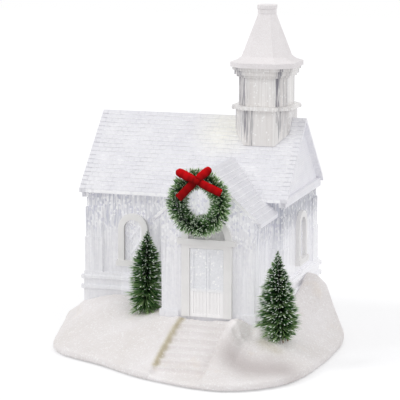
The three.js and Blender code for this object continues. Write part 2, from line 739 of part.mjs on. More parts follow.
function bottomCover() {
  const holes = COVER_SCREWS.map(([x, y]) => post(SCREW_RADIUS + FIT, x, y, 0, COVER_TOP + PAST, 8));
  const heads = COVER_SCREWS.map(([x, y]) => post(
    SCREW_HEAD_RADIUS + FIT, x, y, 0, COVER_BOTTOM + SCREW_HEAD_HEIGHT, 12,
  ));
  const ears = [-1, 1].map((side) => {
    const middle = BATTERY_X + side * (trayHalfWidth + EAR_OFFSET);
    const axis = BATTERY_Y + hingeY;
    return box(
      middle - EAR_HALF, middle + EAR_HALF, axis - EAR_HALF, axis + 1.5 * EAR_HALF,
      COVER_TOP - PAST, HINGE_Z + HINGE_RADIUS + 2 * FIT,
    );
  });
  const doorway = box(
    BATTERY_X - trayHalfWidth, BATTERY_X + trayHalfWidth,
    BATTERY_Y + doorFront, BATTERY_Y + hingeY + HINGE_RADIUS + FIT, 0, TRAY_TOP,
  );
  const slot = box(
    SWITCH_X - SWITCH_STEM / 2 - SWITCH_TRAVEL - FIT, SWITCH_X + SWITCH_STEM / 2 + SWITCH_TRAVEL + FIT,
    SWITCH_Y - SWITCH_STEM / 2 - FIT, SWITCH_Y + SWITCH_STEM / 2 + FIT, 0, COVER_TOP + PAST,
  );
  const pinHole = rodAlongX(
    HINGE_PIN_RADIUS + FIT, BATTERY_X - trayHalfWidth - HINGE_PIN_LENGTH - FIT,
    BATTERY_X + trayHalfWidth + HINGE_PIN_LENGTH + FIT, BATTERY_Y + hingeY, HINGE_Z, 10,
  );
  const posts = boardPosts().map(([x, y]) => post(BOARD_POST_RADIUS, x, y, COVER_BOTTOM + PAST, BOARD_Z, 8));
  const lastStep = stairs[STEP_COUNT - 1];
  const notchHalf = lastStep.half + SHELL_WALL + FIT;
  const notch = box(
    PORCH_X - notchHalf, PORCH_X + notchHalf,
    lastStep.front, lastStep.back + SHELL_WALL + FIT, 0, COVER_TOP + PAST,
  );
  const sheet = plate(insetOutline(SHELL_WALL + 2 * FIT), COVER_BOTTOM, COVER_TOP);
  return cut(joined([sheet, ...ears, ...posts]), [...holes, ...heads, doorway, slot, pinHole, notch]);
}

function boardPosts() {
  const dx = BOARD_LENGTH / 2 - BOARD_POST_INSET;
  const dy = BOARD_WIDTH / 2 - BOARD_POST_INSET;
  return [[-dx, -dy], [dx, -dy], [dx, dy], [-dx, dy]].map(([x, y]) => [BOARD_X + x, BOARD_Y + y]);
}

function rubberRing() {
  const hole = insetOutline(RUBBER_INSET + RUBBER_WIDTH).reverse();
  return plate(insetOutline(RUBBER_INSET), 0, COVER_BOTTOM, [hole]);
}

function screw(x, y, headBottom, length) {
  return joined([
    post(SCREW_HEAD_RADIUS, x, y, headBottom, headBottom + SCREW_HEAD_HEIGHT - FIT, 12),
    post(SCREW_RADIUS, x, y, headBottom + SCREW_HEAD_HEIGHT / 2, headBottom + length, 8),
  ]);
}

function coverScrew([x, y]) {
  return screw(x, y, COVER_BOTTOM + GLUE, COVER_SCREW_LENGTH);
}

function chapelScrew([x, y]) {
  const headBottom = DECK_UNDERSIDE - SCREW_HEAD_HEIGHT;
  return screw(x, y, headBottom, DECK_TOP - headBottom + CHAPEL_SCREW_BITE);
}

function batteryTray() {
  const outer = box(
    -trayHalfWidth - TRAY_WALL, trayHalfWidth + TRAY_WALL,
    -trayHalfLength - TRAY_WALL, trayHalfLength + TRAY_WALL, COVER_TOP, TRAY_TOP,
  );
  const inner = box(
    -trayHalfWidth, trayHalfWidth, -trayHalfLength, trayHalfLength, 0, TRAY_TOP - TRAY_WALL,
  );
  const overDoor = box(
    -trayHalfWidth - FIT, trayHalfWidth + FIT, 0, hingeY, 0, HINGE_Z + HINGE_RADIUS + FIT,
  );
  return cut(outer, [inner, overDoor]);
}

const cellZ = TRAY_TOP - TRAY_WALL - FIT - CELL_RADIUS;

// A cell along Y; its contact nipple points to +Y where side is 1
function cell(side) {
  const tail = side * (-trayHalfLength + CONTACT_THICKNESS + SPRING_LENGTH + 2 * FIT);
  const shoulder = tail + side * CELL_LENGTH;
  const nippleEnd = shoulder + side * CELL_NIPPLE;
  return joined([
    rodAlongY(CELL_RADIUS, 0, Math.min(tail, shoulder), Math.max(tail, shoulder), 0, 20),
    rodAlongY(CELL_NIPPLE_RADIUS, 0, Math.min(tail, nippleEnd), Math.max(tail, nippleEnd), 0, 12),
  ]);
}

function cellSide(index) {
  return index % 2 === 0 ? 1 : -1;
}

function cellX(index) {
  return (index - (CELL_COUNT - 1) / 2) * CELL_PITCH;
}

// Contacts join the cells in a row: a strip at one end of the tray, with a spring on each minus end
const CONTACTS = [
  { end: -1, from: 0, to: 0 }, { end: 1, from: 0, to: 1 },
  { end: -1, from: 1, to: 2 }, { end: 1, from: 2, to: 2 },
];

function contact({ end, from, to }) {
  const outside = end * trayHalfLength;
  const inside = end * (trayHalfLength - CONTACT_THICKNESS);
  const strip = box(
    cellX(from) - CONTACT_HALF, cellX(to) + CONTACT_HALF,
    Math.min(outside, inside), Math.max(outside, inside), cellZ - CONTACT_HALF, cellZ + CONTACT_HALF,
  );
  const sprung = [...new Set([from, to])].filter((index) => cellSide(index) === -end);
  const tip = inside - end * SPRING_LENGTH;
  return joined([strip, ...sprung.map((index) => rodAlongY(
    SPRING_RADIUS, cellX(index), Math.min(tip, outside), Math.max(tip, outside), cellZ, 10,
  ))]);
}

// The door turns on two stub pins along its rear edge
function batteryDoor() {
  const half = trayHalfWidth - FIT;
  const leaf = box(-half, half, doorFront + FIT, hingeY, COVER_BOTTOM, COVER_TOP - FIT);
  const knuckle = rodAlongX(HINGE_RADIUS, -half, half, hingeY, HINGE_Z, 14);
  const pinEnd = half + HINGE_PIN_LENGTH;
  const pins = rodAlongX(HINGE_PIN_RADIUS, -pinEnd, pinEnd, hingeY, HINGE_Z, 10);
  const latchFront = doorFront + 2 * FIT;
  const latch = box(
    -LATCH_HALF, LATCH_HALF, latchFront, latchFront + LATCH_THICKNESS, COVER_BOTTOM, COVER_TOP + SLIDER_TOP,
  );
  const grip = box(
    -LATCH_HALF, LATCH_HALF, doorFront - PAST, latchFront,
    COVER_BOTTOM - PAST, COVER_BOTTOM + LATCH_THICKNESS,
  );
  return cut(joined([leaf, knuckle, pins, latch]), [grip]);
}

// Slide switch: the body sits on the cover and its stem reaches down through the slot
function switchBody() {
  const body = box(
    SWITCH_X - SWITCH_LENGTH / 2, SWITCH_X + SWITCH_LENGTH / 2,
    SWITCH_Y - SWITCH_WIDTH / 2, SWITCH_Y + SWITCH_WIDTH / 2, COVER_TOP, COVER_TOP + SWITCH_HEIGHT,
  );
  const travel = SLIDER_LENGTH / 2 + SWITCH_TRAVEL + FIT;
  const track = box(
    SWITCH_X - travel, SWITCH_X + travel,
    SWITCH_Y - SLIDER_HALF - FIT, SWITCH_Y + SLIDER_HALF + FIT, 0, COVER_TOP + SLIDER_TOP + FIT,
  );
  return cut(body, [track]);
}

function switchSlider() {
  const [long, stem] = [SLIDER_LENGTH / 2, SWITCH_STEM / 2];
  return joined([
    box(-long, long, -SLIDER_HALF, SLIDER_HALF, COVER_TOP + FIT, COVER_TOP + SLIDER_TOP),
    box(-stem, stem, -stem, stem, COVER_BOTTOM - 0.8, COVER_TOP + PAST),
  ]);
}

function controlBoard() {
  const top = BOARD_Z + BOARD_THICKNESS;
  const base = top - BOARD_SINK;
  const chip = box(BOARD_X - 4, BOARD_X + 4, BOARD_Y - 3, BOARD_Y + 3, base, top + 1.6);
  const coil = post(3, BOARD_X + 10, BOARD_Y + 5, base, top + 4, 12);
  const socket = box(BOARD_X - 14, BOARD_X - 8, BOARD_Y - 8, BOARD_Y - 2, base, top + 3.4);
  const plane = plate(rectangle(BOARD_LENGTH / 2, BOARD_WIDTH / 2, BOARD_X, BOARD_Y), BOARD_Z, top);
  return joined([plane, chip, coil, socket]);
}

// Drive: everything here turns about, or surrounds, one vertical axis
const drive = new THREE.Group();
drive.position.set(NAVE_X, NAVE_Y, 0);
chapel.add(drive);
const bracketTop = MOTOR_TOP + BRACKET_THICKNESS;
const carrierBottom = DECK_TOP - CARRIER_THICKNESS - FIT;
const impellerBottom = FLOOR_TOP + FIT;

function motorBracket() {
  const web = box(
    -BRACKET_HALF_LENGTH, BRACKET_HALF_LENGTH, -BRACKET_HALF_WIDTH, BRACKET_HALF_WIDTH, MOTOR_TOP, bracketTop,
  );
  const pads = [-1, 1].map((side) => box(
    side * BRACKET_HALF_LENGTH - (side > 0 ? BRACKET_PAD : 0),
    side * BRACKET_HALF_LENGTH + (side > 0 ? 0 : BRACKET_PAD),
    -BRACKET_HALF_WIDTH, BRACKET_HALF_WIDTH, MOTOR_TOP, DECK_UNDERSIDE,
  ));
  return cut(joined([web, ...pads]), [post(SHAFT_HOLE_RADIUS, 0, 0, 0, bracketTop + PAST, 12)]);
}

function driveMotor() {
  return joined([
    post(MOTOR_RADIUS, 0, 0, MOTOR_TOP - MOTOR_HEIGHT, MOTOR_TOP, 24),
    post(MOTOR_BOSS_RADIUS, 0, 0, MOTOR_TOP - MOTOR_HEIGHT - MOTOR_BOSS_HEIGHT, MOTOR_TOP, 12),
  ]);
}

function motorShaft() {
  return post(SHAFT_RADIUS, 0, 0, MOTOR_TOP + FIT, carrierBottom + CARRIER_THICKNESS - 0.4, 10);
}

function magnetPocket(z0, z1) {
  const core = circle(MAGNET_INNER - FIT, 0, 0, 14).reverse();
  return plate(circle(MAGNET_OUTER + FIT, 0, 0, 20), z0, z1, [core]);
}

function magnetCarrier() {
  const top = carrierBottom + CARRIER_THICKNESS;
  const disc = joined([
    post(CARRIER_RADIUS, 0, 0, carrierBottom, top, 24),
    post(MAGNET_INNER - FIT, 0, 0, bracketTop + FIT, carrierBottom + PAST, 12),
  ]);
  return cut(disc, [
    magnetPocket(top - MAGNET_THICKNESS - FIT, top + PAST),
    post(SHAFT_RADIUS + SPINDLE_FIT, 0, 0, 0, TALL, 10),
  ]);
}

function ringMagnet(bottom) {
  const hole = circle(MAGNET_INNER, 0, 0, 14).reverse();
  return plate(circle(MAGNET_OUTER, 0, 0, 20), bottom, bottom + MAGNET_THICKNESS, [hole]);
}

function ledBoard() {
  return plate(
    circle(LED_RING_OUTER, 0, 0, 28), bracketTop, bracketTop + LED_BOARD_THICKNESS,
    [circle(LED_RING_INNER, 0, 0, 24).reverse()],
  );
}

// One clear moulding over the ring of lamps, with a dome above each
function ledLens() {
  const middle = (LED_RING_INNER + LED_RING_OUTER) / 2;
  const bottom = bracketTop + LED_BOARD_THICKNESS;
  const ring = plate(
    circle(middle + LED_RADIUS, 0, 0, 24), bottom, bottom + LENS_THICKNESS,
    [circle(middle - LED_RADIUS, 0, 0, 20).reverse()],
  );
  const domes = [];
  for (let i = 0; i < LED_COUNT; i += 1) {
    const angle = (2 * Math.PI * (i + 0.5)) / LED_COUNT;
    const [x, y] = [middle * Math.cos(angle), middle * Math.sin(angle)];
    domes.push(post(LED_RADIUS, x, y, bottom, bottom + LED_HEIGHT, 10));
  }
  return joined([ring, ...domes]);
}

// Plan of the chamber: nave and porch as one cross shaped outline, inset from the inner walls
function chamberPlan(gap) {
  const [left, right] = [NAVE_X - NAVE_HALF_LENGTH + WALL + gap, NAVE_X + NAVE_HALF_LENGTH - WALL - gap];
  const [front, back] = [NAVE_FRONT + WALL + gap, NAVE_Y + NAVE_HALF_DEPTH - WALL - gap];
  const porchLeft = PORCH_X - PORCH_HALF_WIDTH + WALL + gap;
  const porchRight = PORCH_X + PORCH_HALF_WIDTH - WALL - gap;
  const porchFront = PORCH_FRONT + WALL + gap;
  return [
    [left, front], [porchLeft, front], [porchLeft, porchFront], [porchRight, porchFront],
    [porchRight, front], [right, front], [right, back], [left, back],
  ];
}

function chamberFloor() {
  const spindleTop = impellerBottom + IMPELLER_HEIGHT + PAST;
  const slab = joined([
    plate(chamberPlan(GASKET_WIDTH + 2 * FIT), FLOOR_BOTTOM, FLOOR_TOP),
    post(SPINDLE_RADIUS, NAVE_X, NAVE_Y, FLOOR_BOTTOM, spindleTop, 12),
  ]);
  return slab.subtract(post(PLUG_RADIUS + FIT, NAVE_X + PLUG_OFFSET, NAVE_Y, 0, TALL, 16));
}

function floorGasket() {
  return plate(chamberPlan(FIT), FLOOR_BOTTOM, FLOOR_TOP, [chamberPlan(FIT + GASKET_WIDTH).reverse()]);
}

function fillPlug() {
  const [x, y] = [NAVE_X + PLUG_OFFSET, NAVE_Y];
  return joined([
    post(PLUG_RADIUS, x, y, FLOOR_BOTTOM - PLUG_DROP, FLOOR_TOP, 16),
    post(PLUG_RADIUS + PLUG_FLANGE, x, y, FLOOR_BOTTOM - PLUG_DROP, FLOOR_BOTTOM - FIT, 16),
  ]);
}

function impeller() {
  const discTop = impellerBottom + IMPELLER_DISC;
  const parts = [
    post(IMPELLER_RADIUS, 0, 0, impellerBottom, discTop, 24),
    post(IMPELLER_HUB, 0, 0, impellerBottom, impellerBottom + IMPELLER_HEIGHT, 14),
  ];
  const [bladeLength, bladeHeight] = [IMPELLER_RADIUS - PAST, IMPELLER_HEIGHT - PAST];
  for (let i = 0; i < BLADE_COUNT; i += 1) {
    const geometry = new THREE.BoxGeometry(bladeLength, BLADE_THICKNESS, bladeHeight);
    geometry.translate(bladeLength / 2, 0, impellerBottom + bladeHeight / 2);
    geometry.rotateZ((2 * Math.PI * (i + 0.5)) / BLADE_COUNT);
    parts.push(solidOf(geometry));
  }
  return cut(joined(parts), [
    magnetPocket(0, impellerBottom + MAGNET_THICKNESS + FIT),
    post(SPINDLE_RADIUS + SPINDLE_FIT, 0, 0, 0, TALL, 12),
  ]);
}

// A pierced lid on four legs that keeps fingers and glitter clumps off the impeller
function impellerGuard() {
  const top = FLOOR_TOP + GUARD_HEIGHT;
  const legs = [];
  for (let i = 0; i < GUARD_LEGS; i += 1) {
    const geometry = new THREE.BoxGeometry(GUARD_LEG_DEPTH, GUARD_LEG_WIDTH, GUARD_HEIGHT);
    geometry.translate(GUARD_RADIUS - GUARD_LEG_DEPTH / 2, 0, FLOOR_TOP + GUARD_HEIGHT / 2);
    geometry.rotateZ((2 * Math.PI * (i + 0.5)) / GUARD_LEGS);
    legs.push(solidOf(geometry));
  }
  const holes = [];
  for (let i = 0; i < GUARD_HOLES; i += 1) {
    const angle = (2 * Math.PI * i) / GUARD_HOLES;
    const [x, y] = [GUARD_HOLE_RING * Math.cos(angle), GUARD_HOLE_RING * Math.sin(angle)];
    holes.push(post(GUARD_HOLE_RADIUS, x, y, 0, TALL, 10));
  }
  return cut(joined([post(GUARD_RADIUS, 0, 0, top - GUARD_THICKNESS, top, 24), ...legs]), holes);
}

// House shaped profiles of the roofs
function houseProfile(half, ridge, slope, bottom, lift) {
  const eave = ridge + lift - slope * half;
  return [[-half, bottom], [half, bottom], [half, eave], [0, ridge + lift], [-half, eave]];
}

function shifted(points, du) {
  return points.map(([u, v]) => [u + du, v]);
}

function mainProfile(half, bottom, lift) {
  return shifted(houseProfile(half, RIDGE_Z, ROOF_SLOPE, bottom, lift), NAVE_Y);
}

function porchProfile(half, bottom, lift) {
  return shifted(houseProfile(half, PORCH_RIDGE_Z, PORCH_SLOPE, bottom, lift), PORCH_X);
}

// A roof slab: overlapping shingle courses above, a plain underside below
function coursedSlab(half, ridge, slope, course) {
  const count = Math.round((half * Math.hypot(1, slope)) / course);
  const right = [];
  for (let i = 0; i < count; i += 1) {
    const low = half * (1 - i / count);
    const high = half * (1 - (i + 1) / count);
    right.push([low, ridge - slope * low + (i > 0 ? COURSE_LIP : 0)]);
    right.push([high, ridge - slope * high]);
  }
  const left = right.slice(0, -1).reverse().map(([u, v]) => [-u, v]);
  const eave = ridge - slope * half - ROOF_THICKNESS;
  return [[-half, eave], [0, ridge - ROOF_THICKNESS], [half, eave], ...right, ...left];
}

function chapelRoof() {
  const [naveLeft, naveRight] = [NAVE_X - NAVE_HALF_LENGTH, NAVE_X + NAVE_HALF_LENGTH];
  const naveSlab = coursedSlab(ROOF_HALF_DEPTH, RIDGE_Z, ROOF_SLOPE, NAVE_COURSE);
  const main = prismAlongX(shifted(naveSlab, NAVE_Y), NAVE_X - ROOF_HALF_LENGTH, NAVE_X + ROOF_HALF_LENGTH);
  const reach = NAVE_Y - (RIDGE_Z - PORCH_RIDGE_Z) / ROOF_SLOPE + PORCH_ROOF_BITE;
  const porchSlab = coursedSlab(PORCH_ROOF_HALF, PORCH_RIDGE_Z, PORCH_SLOPE, PORCH_COURSE);
  const porch = prismAlongY(shifted(porchSlab, PORCH_X), PORCH_VERGE, reach);
  const insideNave = prismAlongX(mainProfile(NAVE_HALF_DEPTH + FIT, 0, -ROOF_THICKNESS), naveLeft, naveRight);
  const insidePorch = prismAlongY(
    porchProfile(PORCH_HALF_WIDTH - WALL, 0, -ROOF_THICKNESS), PORCH_FRONT, NAVE_Y,
  );
  const pediments = [-1, 1].map((side) => {
    const face = NAVE_X + side * NAVE_HALF_LENGTH;
    const inner = face - side * WALL;
    const gableProfile = mainProfile(NAVE_HALF_DEPTH, PEDIMENT_BOTTOM, -ROOF_THICKNESS / 2);
    const gable = prismAlongX(gableProfile, Math.min(face, inner), Math.max(face, inner));
    const bandFace = face + side * PEDIMENT_BAND_OUT;
    const band = box(
      Math.min(inner, bandFace), Math.max(inner, bandFace),
      NAVE_FRONT - PEDIMENT_BAND_OUT, NAVE_Y + NAVE_HALF_DEPTH + PEDIMENT_BAND_OUT,
      PEDIMENT_BOTTOM, PEDIMENT_BOTTOM + PEDIMENT_BAND,
    );
    return gable.add(band);
  });
  const lineProfile = mainProfile(ROOF_HALF_DEPTH, 0, -ROOF_THICKNESS / 2);
  const roofLine = prismAlongX(lineProfile, NAVE_X - ROOF_HALF_LENGTH, NAVE_X + ROOF_HALF_LENGTH);
  const gables = pediments.map((solid) => solid.intersect(roofLine));
  return joined([main.subtract(insidePorch), porch.subtract(insideNave), ...gables]);
}

function latticeOn(halfWidth, height, radius) {
  const bars = [];
  const reach = height + halfWidth;
  for (let offset = -reach; offset <= reach; offset += LATTICE_PITCH) {
    for (const lean of [-1, 1]) {
      const geometry = new THREE.BoxGeometry(LATTICE_BAR, LATTICE_RELIEF * 2, 3 * reach);
      geometry.rotateY((lean * Math.PI) / 5);
      geometry.translate(offset, 0, height / 2);
      bars.push(solidOf(geometry));
    }
  }
  const field = prismAlongY(archOutline(halfWidth, height, radius), -TALL / 100, TALL / 100);
  return joined(bars).intersect(field);
}

// An upright outline with a half round head; its foot is at v = 0
function archOutline(half, height, radius, segments = 12) {
  const spring = height - radius;
  const points = [[-half, 0], [half, 0]];
  for (let i = 0; i <= segments; i += 1) {
    const angle = (Math.PI * i) / segments;
    points.push([half * Math.cos(angle), spring + radius * Math.sin(angle)]);
  }
  return points;
}

// Every window: where its middle stands on a wall face, and how it is turned about Z
const WINDOWS = [
  { name: 'window_frame_front', x: WINDOW_BAY_X, y: NAVE_FRONT, turn: 0 },
  { name: 'window_frame_right', x: NAVE_X + NAVE_HALF_LENGTH, y: NAVE_Y, turn: 1 },
  { name: 'window_frame_left', x: NAVE_X - NAVE_HALF_LENGTH, y: NAVE_Y, turn: 3 },
  { name: 'window_frame_back_left', x: NAVE_X - NAVE_HALF_LENGTH / 2, y: NAVE_Y + NAVE_HALF_DEPTH, turn: 2 },
  { name: 'window_frame_back_right', x: NAVE_X + NAVE_HALF_LENGTH / 2, y: NAVE_Y + NAVE_HALF_DEPTH, turn: 2 },
];

function turned(solid, quarter) {
  return solid.rotate([0, 0, 90 * quarter]);
}

function windowFrame() {
  const head = WINDOW_HALF;
  const innerHalf = WINDOW_HALF - WINDOW_BAND;
  const innerBottom = WINDOW_SILL_HEIGHT;
  const innerHeight = WINDOW_HEIGHT - WINDOW_BAND - innerBottom;
  const opening = archOutline(innerHalf, innerHeight, innerHalf).map(([u, v]) => [u, v + innerBottom]);
  const outer = archOutline(WINDOW_HALF, WINDOW_HEIGHT, head);
  const ring = prismAlongY(outer, -FRAME_OUT - GLUE, -GLUE, [opening.reverse()]);
  const sill = box(
    -WINDOW_SILL_HALF, WINDOW_SILL_HALF, -WINDOW_SILL_OUT - GLUE, -GLUE, 0, WINDOW_SILL_HEIGHT,
  );
  return ring.add(sill);
}

function buttress(sideX, sideY) {
  const cornerX = NAVE_X + sideX * NAVE_HALF_LENGTH;
  const cornerY = NAVE_Y + sideY * NAVE_HALF_DEPTH;
  const tiers = [
    { out: BUTTRESS_OUT, top: BUTTRESS_TOP },
    { out: (BUTTRESS_OUT + BASE_COURSE_OUT) / 2, top: BUTTRESS_STEP },
  ];
  return joined(tiers.map(({ out, top }) => {
    const farX = cornerX + sideX * out;
    const farY = cornerY + sideY * out;
    const nearX = cornerX - sideX * BUTTRESS_WIDTH;
    const nearY = cornerY - sideY * BUTTRESS_WIDTH;
    return box(
      Math.min(nearX, farX), Math.max(nearX, farX),
      Math.min(nearY, farY), Math.max(nearY, farY), WALL_FOOT, top,
    );
  }));
}

function courseBead(z) {
  const out = BASE_COURSE_OUT;
  const xs = [NAVE_X - NAVE_HALF_LENGTH - out, NAVE_X + NAVE_HALF_LENGTH + out];
  const ys = [NAVE_FRONT - out, NAVE_Y + NAVE_HALF_DEPTH + out];
  return joined([
    ...ys.map((y) => rodAlongX(BEAD_RADIUS, xs[0] - BEAD_RADIUS, xs[1] + BEAD_RADIUS, y, z, 6)),
    ...xs.map((x) => rodAlongY(BEAD_RADIUS, x, ys[0] - BEAD_RADIUS, ys[1] + BEAD_RADIUS, z, 6)),
  ]);
}

function chapelWalls() {
  const [left, right] = [NAVE_X - NAVE_HALF_LENGTH, NAVE_X + NAVE_HALF_LENGTH];
  const back = NAVE_Y + NAVE_HALF_DEPTH;
  const nave = box(left, right, NAVE_FRONT, back, WALL_FOOT, RIDGE_Z);
  const course = box(
    left - BASE_COURSE_OUT, right + BASE_COURSE_OUT,
    NAVE_FRONT - BASE_COURSE_OUT, back + BASE_COURSE_OUT, WALL_FOOT, BASE_COURSE_TOP,
  );
  const porch = box(
    PORCH_X - PORCH_HALF_WIDTH, PORCH_X + PORCH_HALF_WIDTH, PORCH_FRONT, NAVE_Y, WALL_FOOT, PORCH_RIDGE_Z,
  );
  const porchCourse = box(
    PORCH_X - PORCH_HALF_WIDTH - PORCH_COURSE_OUT, PORCH_X + PORCH_HALF_WIDTH + PORCH_COURSE_OUT,
    PORCH_FRONT - PORCH_COURSE_OUT, NAVE_Y, WALL_FOOT, SNOW_LEVEL + PORCH_COURSE_RISE,
  );
  const doorGap = box(
    PORCH_X - LINTEL_HALF, PORCH_X + LINTEL_HALF, PORCH_FRONT - TALL, PORCH_FRONT, WALL_FOOT - PAST, TALL,
  );
  const corners = [[-1, -1], [1, -1], [1, 1], [-1, 1]].map(([x, y]) => buttress(x, y));
  const beads = [UPPER_BEAD, LOWER_BEAD].map((drop) => courseBead(BASE_COURSE_TOP - drop));
  const clearOfPorch = joined([course, ...corners, ...beads]).subtract(box(
    PORCH_X - PORCH_HALF_WIDTH + PAST, PORCH_X + PORCH_HALF_WIDTH - PAST, -TALL, NAVE_FRONT, 0, TALL,
  ));
  const body = joined([nave, porch]);
  const inner = plate(chamberPlan(0), 0, TALL);
  const underMain = prismAlongX(
    mainProfile(NAVE_HALF_DEPTH, 0, -ROOF_THICKNESS - FIT), left, right,
  );
  const underPorch = prismAlongY(
    porchProfile(PORCH_HALF_WIDTH, 0, -ROOF_THICKNESS - FIT), PORCH_FRONT, NAVE_Y,
  );
  const paneHalf = WINDOW_HALF - WINDOW_BAND;
  const paneHeight = WINDOW_HEIGHT - WINDOW_BAND - WINDOW_SILL_HEIGHT;
  const inWall = box(-TALL, TALL, LATTICE_RELIEF / 2, TALL, -TALL, TALL);
  const lattice = latticeOn(paneHalf - FIT, paneHeight - FIT, paneHalf).subtract(inWall);
  const lattices = WINDOWS.map((window) => turned(lattice, window.turn).translate([
    window.x, window.y, WINDOW_SILL_Z + WINDOW_SILL_HEIGHT,
  ]));
  const gableCuts = [-1, 1].map((side) => {
    const near = NAVE_X + side * (NAVE_HALF_LENGTH - WALL - FIT);
    const far = NAVE_X + side * (ROOF_HALF_LENGTH + PAST);
    return box(Math.min(near, far), Math.max(near, far), -TALL, TALL, PEDIMENT_BOTTOM - FIT, TALL);
  });
  const screwHoles = CHAPEL_SCREWS.map(([x, y]) => post(
    SCREW_RADIUS + FIT, x, y, 0, DECK_TOP + CHAPEL_SCREW_BITE + FIT, 8,
  ));
  const roofed = body.intersect(underMain.add(underPorch));
  const outer = joined([roofed, clearOfPorch, porchCourse.subtract(doorGap)]);
  return cut(joined([outer.subtract(inner), ...lattices]), [...gableCuts, ...screwHoles]);
}

// The liquid stands a little inside every wall and ends below the ridge, where an air space is left
function glitterFill() {
  const columns = plate(chamberPlan(FIT), FLOOR_TOP + FIT, FILL_LEVEL);
  const profile = mainProfile(NAVE_HALF_DEPTH, 0, -ROOF_THICKNESS - 2 * FIT);
  const underMain = prismAlongX(profile, NAVE_X - NAVE_HALF_LENGTH, NAVE_X + NAVE_HALF_LENGTH);
  const underPorch = prismAlongY(
    porchProfile(PORCH_HALF_WIDTH, 0, -ROOF_THICKNESS - 2 * FIT), PORCH_FRONT, NAVE_Y,
  );
  return columns.intersect(underMain.add(underPorch)).subtract(
    post(GUARD_RADIUS + FIT, NAVE_X, NAVE_Y, 0, FLOOR_TOP + GUARD_HEIGHT + FIT, 28),
  );
}

// Frame around the door with a lintel and a half round fanlight
function doorFrame() {
  const outerHalf = DOOR_HALF + JAMB;
  const jambs = box(-outerHalf, outerHalf, FRAME_BACK - FRAME_OUT, FRAME_BACK, SILL_Z, LINTEL_TOP).subtract(
    box(-DOOR_HALF, DOOR_HALF, -TALL, TALL, 0, DOOR_TOP),
  );
  const lintel = box(
    -LINTEL_HALF, LINTEL_HALF, FRAME_BACK - LINTEL_OUT, FRAME_BACK, LINTEL_BOTTOM, LINTEL_TOP,
  );
  const outer = archOutline(outerHalf, outerHalf, outerHalf, 18).map(([u, v]) => [u, v + LINTEL_TOP - 0.5]);
  const innerHalf = outerHalf - FANLIGHT_RING;
  const inner = archOutline(innerHalf, innerHalf, innerHalf, 14).map(([u, v]) => [u, v + LINTEL_TOP]);
  const arch = prismAlongY(outer, FRAME_BACK - FRAME_OUT, FRAME_BACK).subtract(
    prismAlongY(inner, FRAME_BACK - FRAME_OUT - PAST, FRAME_BACK + PAST),
  );
  const barLength = innerHalf + PAST;
  const bars = FANLIGHT_BARS.map((degrees) => {
    const geometry = new THREE.BoxGeometry(barLength, FRAME_OUT / 2, GLAZING_BAR);
    geometry.translate(barLength / 2, FRAME_BACK - FRAME_OUT / 4, 0);
    geometry.rotateY(THREE.MathUtils.degToRad(-degrees));
    geometry.translate(0, 0, LINTEL_TOP);
    return solidOf(geometry);
  });
  return joined([jambs, lintel, arch, ...bars.map((solid) => solid.subtract(
    box(-TALL, TALL, -TALL, TALL, 0, LINTEL_TOP - PAST),
  ))]);
}

// Two clear leaves moulded as one panel: glazed above, boarded below
function doubleDoor() {
  const half = DOOR_HALF - FIT;
  const [bottom, top] = [SILL_Z, DOOR_TOP - FIT];
  const face = FRAME_BACK - DOOR_THICKNESS;
  const proud = face - DOOR_RELIEF;
  const parts = [box(-half, half, face, FRAME_BACK, bottom, top)];
  const root = face + DOOR_THICKNESS / 2;
  const stiles = [[-half, -half + DOOR_RAIL], [-DOOR_STILE, DOOR_STILE], [half - DOOR_RAIL, half]];
  for (const [x0, x1] of stiles) {
    parts.push(box(x0, x1, proud, root, bottom, top));
  }
  const rails = [bottom, bottom + DOOR_MID_RAIL, top - DOOR_RAIL];
  for (const z of rails) {
    parts.push(box(-half, half, proud, root, z, z + DOOR_RAIL));
  }
  for (let i = 0; i < BOARD_COUNT; i += 1) {
    for (const side of [-1, 1]) {
      const x = side * (DOOR_STILE + BOARD_PITCH * (i + 1));
      parts.push(box(x - BOARD_RIB, x + BOARD_RIB, proud + FIT, root, bottom, bottom + DOOR_MID_RAIL));
    }
  }
  const meeting = box(-MEETING_GAP, MEETING_GAP, -TALL, proud + 2 * MEETING_GAP, 0, TALL);
  return joined(parts).subtract(meeting);
}

// Steeple: every stage is a square with its corners cut off
const steeple = new THREE.Group();
steeple.position.set(TOWER_X, NAVE_Y, 0);
chapel.add(steeple);

function chamferedSquare(half) {
  const flat = half * CHAMFER_SHARE;
  return [
    [flat, -half], [half, -flat], [half, flat], [flat, half],
    [-flat, half], [-half, flat], [-half, -flat], [-flat, -half],
  ];
}

function stage(half, z0, z1) {
  return plate(chamferedSquare(half), z0, z1);
}

// A body between stacked chamfered squares given as [half, z]
function stacked(levels) {
  const positions = [];
  const triangles = [];
  const corners = 8;
  for (const [half, z] of levels) {
    for (const [x, y] of chamferedSquare(half)) positions.push(x, y, z);
  }
  for (let row = 0; row + 1 < levels.length; row += 1) {
    for (let i = 0; i < corners; i += 1) {
      const next = (i + 1) % corners;
      const [a, b] = [row * corners + i, row * corners + next];
      triangles.push(a, b, b + corners, a, b + corners, a + corners);
    }
  }
  const top = (levels.length - 1) * corners;
  for (let i = 1; i + 1 < corners; i += 1) {
    triangles.push(0, i + 1, i, top, top + i, top + i + 1);
  }
  const geometry = new THREE.BufferGeometry();
  geometry.setAttribute('position', new THREE.Float32BufferAttribute(positions, 3));
  geometry.setIndex(triangles);
  return solidOf(geometry);
}

function steepleBase() {
  const foot = RIDGE_Z - ROOF_SLOPE * LEDGE_HALF;
  const roofBody = prismAlongX(
    houseProfile(ROOF_HALF_DEPTH, RIDGE_Z, ROOF_SLOPE, 0, COURSE_LIP + FIT), -TALL, TALL,
  );
  return cut(stage(LOWER_HALF, foot, LEDGE_BOTTOM), [
    stage(LOWER_HALF - TOWER_WALL, foot - PAST, LEDGE_BOTTOM + PAST), roofBody,
  ]);
}

